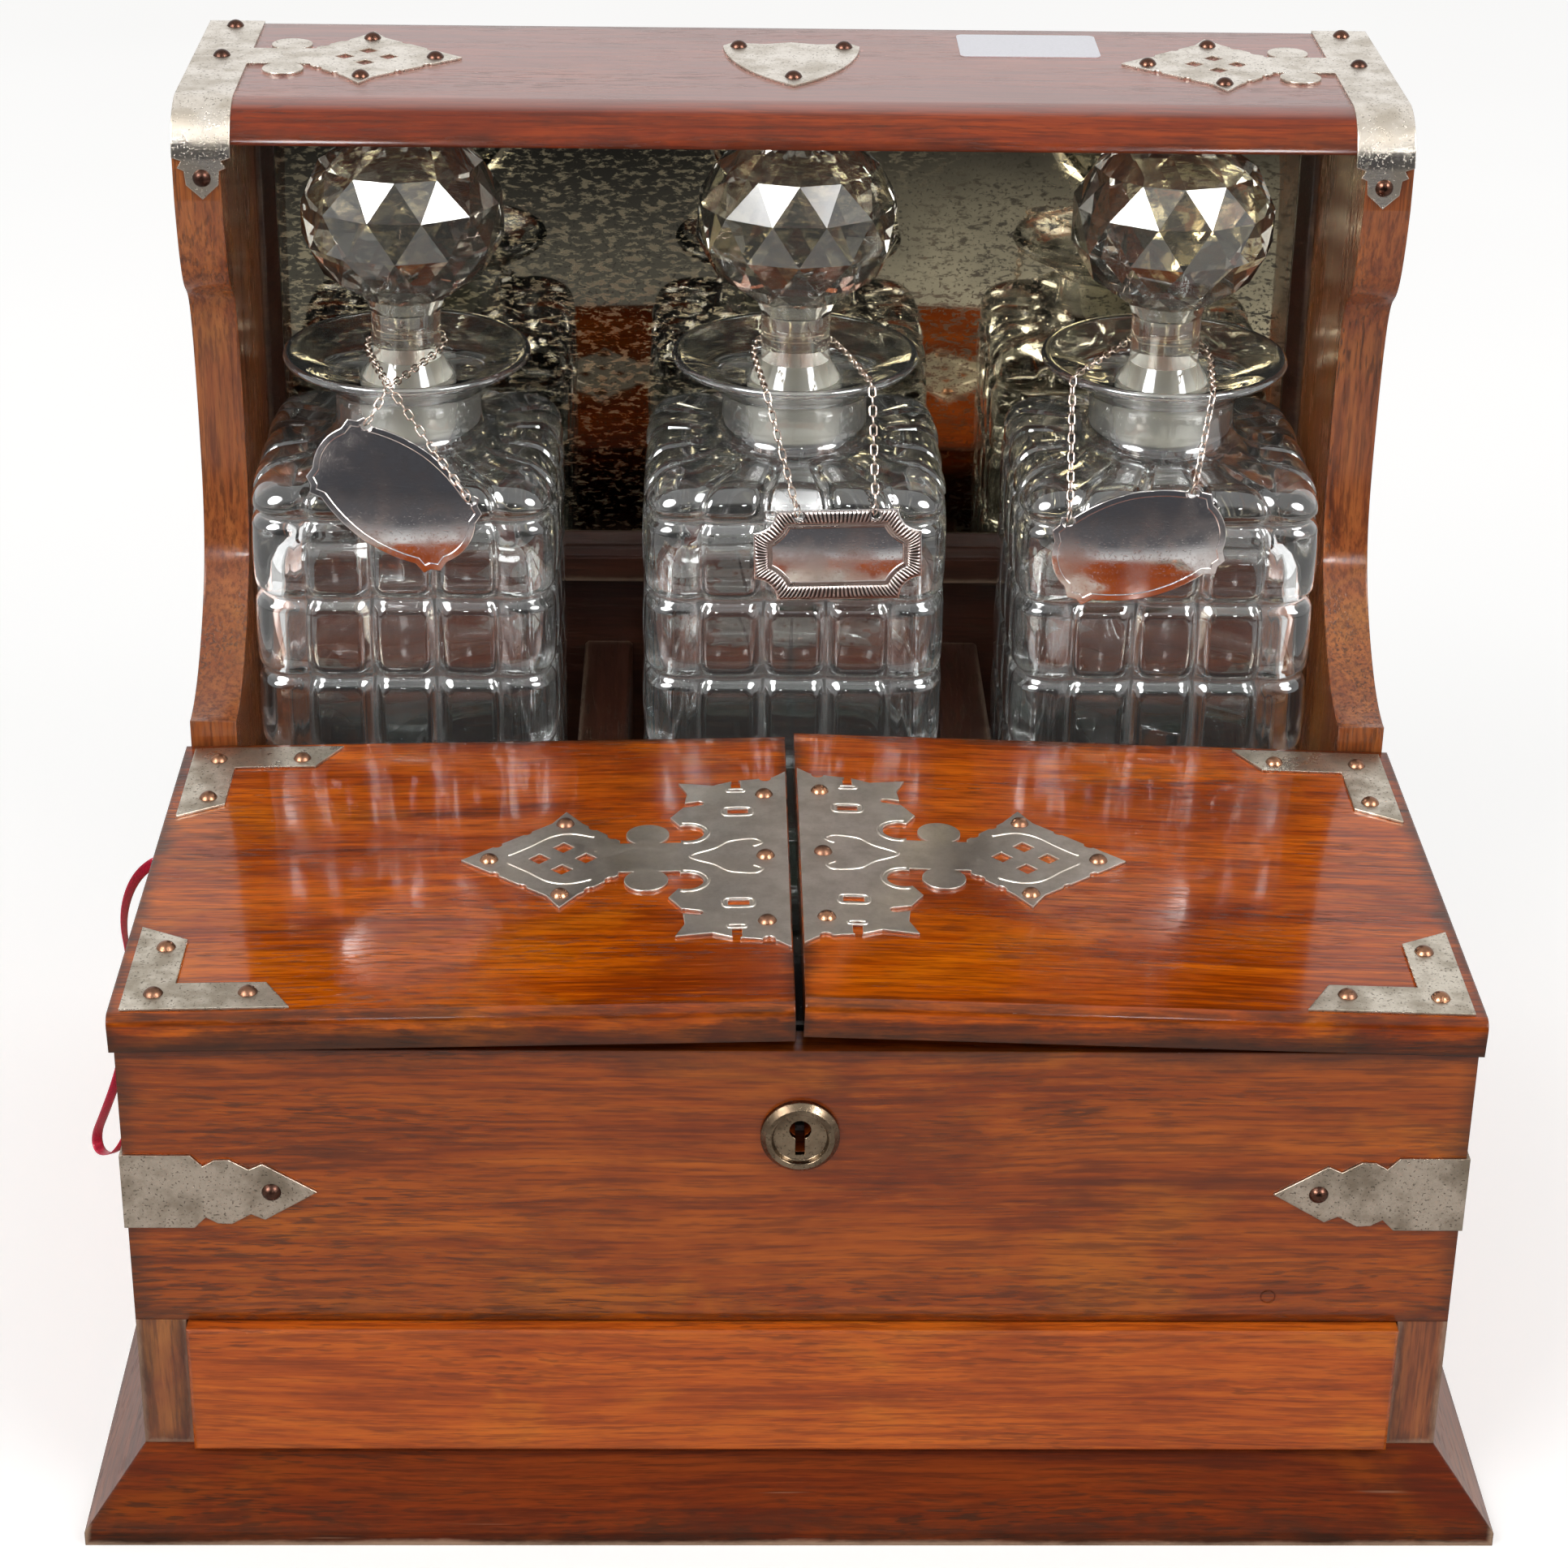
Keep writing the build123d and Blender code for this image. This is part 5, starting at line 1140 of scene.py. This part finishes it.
        dx, dz = s_off - s_half + bend, z_off - z_half[:, None] + bend
        outside = np.hypot(np.maximum(dx, 0.0), np.maximum(dz, 0.0))
        outside += np.minimum(np.maximum(dx, dz), 0.0) - bend
        depth = self.groove * (1 - np.clip(-outside / self.bevel, 0.0, 1.0))
        star = np.clip(outside / 2.0, 0.0, 1.0) * self.star
        crown = self.crown * ((s_off / s_half) ** 2 + (z_off / z_half[:, None]) ** 2) / 2
        fade = smooth_step((240.0 - climb) / 7.0)[:, None] * smooth_step((climb - 66.0) / 3.0)[:, None]
        return (depth + star + crown) * fade

    def build(self) -> bpy.types.Object:
        """Makes the decanter as one closed wall of glass and puts it in its body."""
        outer, inner = self.outer_profile(), self.inner_profile()
        reach_out, angle_out = self.ring(outer)
        run, rise = np.gradient(outer[:, 0]), np.gradient(outer[:, 1])
        long = np.hypot(run, rise)
        depth = self.cuts(outer[:, 3])
        reach_out = reach_out - depth * (rise / long)[:, None]
        reach_in, angle_in = self.ring(inner)
        reach, angle = np.concatenate([reach_out, reach_in]), np.concatenate([angle_out, angle_in])
        height = np.concatenate([outer[:, 1], inner[:, 1]])[:, None] * np.ones_like(reach)
        height[:len(outer)] += depth * (run / long)[:, None]
        rings = np.stack([self.x + reach * np.cos(angle), self.y + reach * np.sin(angle), height], axis=-1)
        piece = solid_of_rings(f"decanter_glass_{self.name}", rings)
        # the depth of cutting, which places the painted highlight in the grooves
        cut = np.zeros((len(rings) + 1, self.round_samples))
        cut[:len(outer)] = depth / self.groove
        note(piece, "cut", cut.ravel()[:len(rings) * self.round_samples + 2])
        piece.data.materials.append(DECANTER_CRYSTAL.material(f"decanter_crystal_{self.name}"))
        piece.data.materials.append(GROUND_CRYSTAL.material(f"ground_glass_{self.name}"))
        first = len(outer) + int(np.argmax(inner[:, 0] == self.bore))
        faces = np.zeros(len(piece.data.polygons), np.int32)
        faces[first * self.round_samples:(first + self.ground_rings) * self.round_samples] = 1
        piece.data.polygons.foreach_set("material_index", faces)
        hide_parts(f"decanter_{self.name}")
        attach(piece, f"decanter_{self.name}")
        LOG.info("decanter %s: %d faces", self.name, len(faces))
        return piece


# ---------------------------------------------------------------- chains, label border, relief and ribbon


@dataclass
class LinkChain:
    """A label's chain of oval links, over the lip and round behind the stopper's stem, and its jump rings."""

    label: HungLabel
    pitch: float = 2.74
    straight: float = 0.7
    bend: float = 0.95
    wire: float = 0.27
    ring: float = 1.9
    ring_wire: float = 0.24

    def ovals(self, middle: np.ndarray, way: np.ndarray, side: np.ndarray, straight: float, bend: float,
              wire: float, count: int, around: int) -> tuple[np.ndarray, np.ndarray]:
        """Bends round wire into ovals: two half circles set apart by the straight part.

        Args:
            middle: Each oval's middle.
            way: The direction of its length.
            side: The direction of its width.
            straight: Half the straight part's length.
            bend: The radius of the half circles at the wire's middle.
            wire: The wire's radius.
            count: The points along the wire.
            around: The points round the wire.

        Returns:
            The points and quads of all the ovals.
        """
        out = np.cross(way, side)
        a = (np.arange(count) + 0.5) * 2 * math.pi / count
        along = bend * np.cos(a) + straight * np.sign(np.cos(a))
        spoke = (np.cos(a)[None, :, None] * way[:, None, :] + np.sin(a)[None, :, None] * side[:, None, :])
        line = (middle[:, None, :] + along[None, :, None] * way[:, None, :]
                + bend * np.sin(a)[None, :, None] * side[:, None, :])
        b = np.arange(around) * 2 * math.pi / around
        points = (line[:, :, None, :] + wire * (np.cos(b)[None, None, :, None] * spoke[:, :, None, :]
                                                + np.sin(b)[None, None, :, None] * out[:, None, None, :]))
        quads = grid_quads(count, around, True, True)
        steps = (np.arange(len(middle)) * count * around)[:, None, None]
        return points.reshape(-1, 3), (quads[None] + steps).reshape(-1, 4)

    def build(self) -> None:
        """Makes the links and the rings as one piece that rides with the decanter."""
        label = self.label
        line = drawn_line(label.turns())
        whole = route_length(line)
        count = round(whole / self.pitch)
        places = (np.arange(count) + 0.5) * whole / count
        ways = unit(stations_on(line, places + 1.2) - stations_on(line, places - 1.2))
        sides = carried_sides(ways, np.array([0.35, -0.8, 0.5]))
        quarter = (np.arange(count) % 2 == 1)[:, None]
        sides = np.where(quarter, np.cross(ways, sides), sides)
        links = self.ovals(stations_on(line, places), ways, sides, self.straight, self.bend, self.wire, 12, 5)
        rings = []
        front, turn = label.axes()[2], math.radians(24.0)
        for hole, end in zip(label.holes(), (line[0], line[-1])):
            up = unit(end - hole)
            through = unit(front - up * (front @ up))
            normal = np.cross(up, through) * math.cos(turn) + through * math.sin(turn)
            rings.append(self.ovals((hole + up * self.ring)[None], up[None], np.cross(normal, up)[None],
                                    0.0, self.ring, self.ring_wire, 28, 6))
        points, quads = joined([links, *rings])
        piece = make_object(f"chain_links_{label.name}", points, quads)
        piece.data.materials.append(CHAIN_SILVER.material(f"chain_silver_{label.name}"))
        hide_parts(f"chain_{label.name}")
        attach(piece, f"decanter_{label.name}")
        LOG.info("chain %s: %d links", label.name, count)


@dataclass
class RibbedBorder:
    """The ribbed margin raised on the oblong label, with two fine lines inside it."""

    label: HungLabel
    width: float = 47.4
    height: float = 26.4
    cut: float = 6.4
    ribs: tuple[int, int, int] = (27, 8, 11)
    per_rib: int = 6
    clear: float = 1.7

    def outline(self, inset: float) -> np.ndarray:
        """Returns the label's outline moved inward: straight sides joined by arcs that hollow the corners.

        Args:
            inset: The distance from the edge.

        Returns:
            The points, the same number at any inset, so that the same point lies across the margin.
        """
        radius = self.cut + inset
        dent = math.sqrt(radius ** 2 - inset ** 2)
        start = math.asin(inset / radius)
        runs = []
        for quarter in range(4):
            wide, tall = (self.width, self.height) if quarter % 2 == 0 else (self.height, self.width)
            n_side = (self.ribs[0] if quarter % 2 == 0 else self.ribs[2]) * self.per_rib
            x = np.linspace(-wide / 2 + dent, wide / 2 - dent, n_side, endpoint=False)
            side = np.stack([x, np.full(n_side, tall / 2 - inset)], axis=1)
            n_arc = self.ribs[1] * self.per_rib
            a = np.linspace(math.pi + start, 1.5 * math.pi - start, n_arc, endpoint=False)
            arc = np.stack([wide / 2 + radius * np.cos(a), tall / 2 + radius * np.sin(a)], axis=1)
            turn = -quarter * math.pi / 2
            spin = np.array([[math.cos(turn), math.sin(turn)], [-math.sin(turn), math.cos(turn)]])
            runs.append(np.concatenate([side, arc]) @ spin)
        return np.concatenate(runs)

    def build(self) -> None:
        """Raises the ribs as the absolute sine of the distance round, and the two lines as narrow bells."""
        insets = np.concatenate([[0.2, 0.45, 0.7, 1.1, 1.8, 2.6, 3.3, 3.7], np.linspace(3.95, 5.35, 8)])
        rings = np.stack([self.outline(t) for t in insets])
        phase = np.arange(rings.shape[1]) * math.pi / self.per_rib
        ribbed = smooth_step((insets - 0.5) / 0.3) * smooth_step((3.85 - insets) / 0.3)
        lines = 0.2 * (np.exp(-((insets - 4.25) / 0.16) ** 2) + np.exp(-((insets - 4.95) / 0.14) ** 2))
        low = np.where(insets < 3.8, 0.3, 0.08)
        rise = low[:, None] + lines[:, None] + 0.55 * ribbed[:, None] * np.abs(np.sin(phase))[None, :]
        flat = rings.reshape(-1, 2)
        inside = np.zeros(len(flat), bool)
        for side in (-1, 1):
            off = flat - np.array([side * self.label.hole[0], self.label.hole[1]])
            far = np.linalg.norm(off, axis=1)
            near = far < self.clear
            flat[near] = flat[near] + off[near] * (self.clear / np.maximum(far[near], 0.05) - 1)[:, None]
            inside |= near
        quads = grid_quads(len(insets), rings.shape[1], False, True)
        quads = quads[~inside[quads].all(axis=1)]
        top = self.label.at(np.column_stack([flat, rise.ravel()]))
        bottom = self.label.at(np.column_stack([flat, np.full(len(flat), -0.1)]))
        points, quads = thickened(top, bottom, quads)
        piece = make_object("label_border", points, quads)
        # painted shade: darkest in the valleys between the ribs, none on their crests
        hollow = ribbed[:, None] * (1 - np.abs(np.sin(phase)))[None, :]
        note(piece, "hollow", np.tile(hollow.ravel(), 2))
        piece.data.materials.append(BORDER_SILVER.material("border_silver"))
        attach(piece, f"label_{self.label.name}")


@dataclass
class StrapRelief:
    """The outlines pressed up in the plate that bridges the lids, for one lid."""

    name: str
    radius: float = 0.5
    around: int = 8
    middle_y: float = -53.0
    split: float = 170.3
    rise: float = 10.6

    def laid(self, flat: np.ndarray) -> np.ndarray:
        """Lays points on the strap's top, given by how far out from the split and how far back they lie."""
        angle, side = math.radians(LID_AJAR[self.name]), SIDES[self.name]
        along = np.array([-side * math.cos(angle), 0.0, math.sin(angle)])
        up = np.array([side * math.sin(angle), 0.0, math.cos(angle)])
        back = np.array([0.0, 1.0, 0.0])
        start = hinge_place(self.name) + self.middle_y * back + self.rise * up
        return start + (self.split - flat[:, 0:1]) * along + flat[:, 1:2] * back

    @staticmethod
    def curve(ends: list[tuple[float, float]], count: int) -> np.ndarray:
        """Returns a smooth line through the points, by Catmull and Rom's cubic between each pair."""
        p = np.array([ends[0], *ends, ends[-1]], float)
        runs = []
        for i in range(1, len(p) - 2):
            t = np.linspace(0.0, 1.0, count, endpoint=False)[:, None]
            a, b, c, d = p[i - 1:i + 3]
            runs.append(0.5 * (2 * b + (c - a) * t + (2 * a - 5 * b + 4 * c - d) * t ** 2
                               + (3 * b - a - 3 * c + d) * t ** 3))
        return np.concatenate([*runs, p[-1:]])

    def build(self) -> None:
        """Sweeps a small round section along each outline, half sunk in the plate."""
        arch = [(9.5, 5.4), (7.3, 7.4), (9.0, 9.6), (13.0, 9.4), (16.5, 8.2), (20.0, 4.6), (26.5, 0.0)]
        mirrored = [(d, -v) for d, v in reversed(arch[:-1])]
        lines: list[tuple[np.ndarray, bool]] = [(self.curve([*arch, *mirrored], 7), False)]
        for way in (-1, 1):
            a = np.linspace(0.42, 1.55, 16) * math.pi
            lines.append((np.stack([27.4 + 5.9 * np.cos(a), way * (13.6 + 5.9 * np.sin(a))], axis=1), False))
            for middle, half in (((13.7, way * 26.0), (4.1, 2.6)), ((14.2, way * 38.6), (2.4, 0.9))):
                a = np.linspace(0.0, 2 * math.pi, 24, endpoint=False)
                ring = np.stack([np.sign(np.cos(a)) * np.abs(np.cos(a)) ** 0.5 * half[0],
                                 np.sign(np.sin(a)) * np.abs(np.sin(a)) ** 0.5 * half[1]], axis=1)
                lines.append((ring + np.array(middle), True))
            leaf = [(52.4, way * 12.0), (58.4, way * 14.2), (64.0, way * 12.6), (69.4, way * 7.2),
                    (74.9, way * 2.2)]
            lines.append((self.curve(leaf, 6), False))
        parts = []
        origin, outward_step = self.laid(np.array([[0.0, 0.0], [1.0, 0.0]]))
        side = np.cross(unit(outward_step - origin), [0.0, 1.0, 0.0])
        for flat, closed in lines:
            path = self.laid(flat)
            sides = np.tile(side, (len(path), 1))
            rings = swept(path, sides, round_section(self.radius, self.around), closed)
            if not closed:
                tips = (path[None, [end]].repeat(self.around, axis=1) for end in (0, -1))
                rings = np.concatenate([next(tips), rings, next(tips)])
            parts.append((rings, grid_quads(len(rings), self.around, closed, True)))
        points, quads = joined(parts)
        piece = make_object(f"strap_relief_{self.name}", points, quads)
        piece.data.materials.append(BRIDGE_NICKEL.material(f"relief_nickel_{self.name}"))
        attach(piece, f"lid_{self.name}")


@dataclass
class KeyRibbon:
    """A narrow silk ribbon that hangs the key from the left handle."""

    width: float = 3.0
    thickness: float = 0.3
    length: float = 0.2219
    turns: tuple[Colour, ...] = (
        (-176.5, -32.5, 117.0), (-176.5, -32.5, 124.5), (-175.6, -12.0, 129.0), (-178.0, 1.0, 126.5),
        (-184.2, -8.0, 124.5), (-184.6, -28.0, 122.5), (-179.2, -48.0, 119.0), (-176.6, -70.0, 115.5),
        (-177.0, -89.0, 110.0), (-181.5, -88.0, 98.0), (-186.6, -79.0, 84.5), (-184.6, -83.0, 81.0),
        (-178.2, -91.0, 87.0), (-175.8, -82.0, 92.0), (-176.0, -66.0, 86.0), (-176.0, -58.0, 76.0),
        (-176.0, -58.0, 64.0))

    def build(self) -> None:
        """Sweeps a thin flat section along the line."""
        line = drawn_line(self.turns)
        ways = unit(np.gradient(line, axis=0))
        sides = carried_sides(ways, np.array([0.3, 1.0, 0.0]))
        half, thin = self.width / 2, self.thickness / 2
        edge = [(1.0, -0.4), (1.0, 0.4), (0.5, 1.0), (-0.5, 1.0)]
        section = np.array(edge + [(-x, -y) for x, y in edge]) * [half, thin]
        piece = solid_of_rings("key_ribbon", swept(line, sides, section, False))
        piece.data.materials.append(Satin().material("crimson_satin"))
        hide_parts("ribbon")
        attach(piece, "case")
        LOG.info("ribbon line %.1f mm", route_length(line))


def main() -> None:
    """Builds the studio and every piece in order."""
    logging.basicConfig(level=logging.INFO, format="%(message)s")
    Studio().build()
    Dresser().build()
    for label in LABELS:
        Decanter(label.name, label.neck_x).build()
        LinkChain(label).build()
    RibbedBorder(LABELS[1]).build()
    for name in SIDES:
        StrapRelief(name).build()
    KeyRibbon().build()


if __name__ == "__main__":
    main()
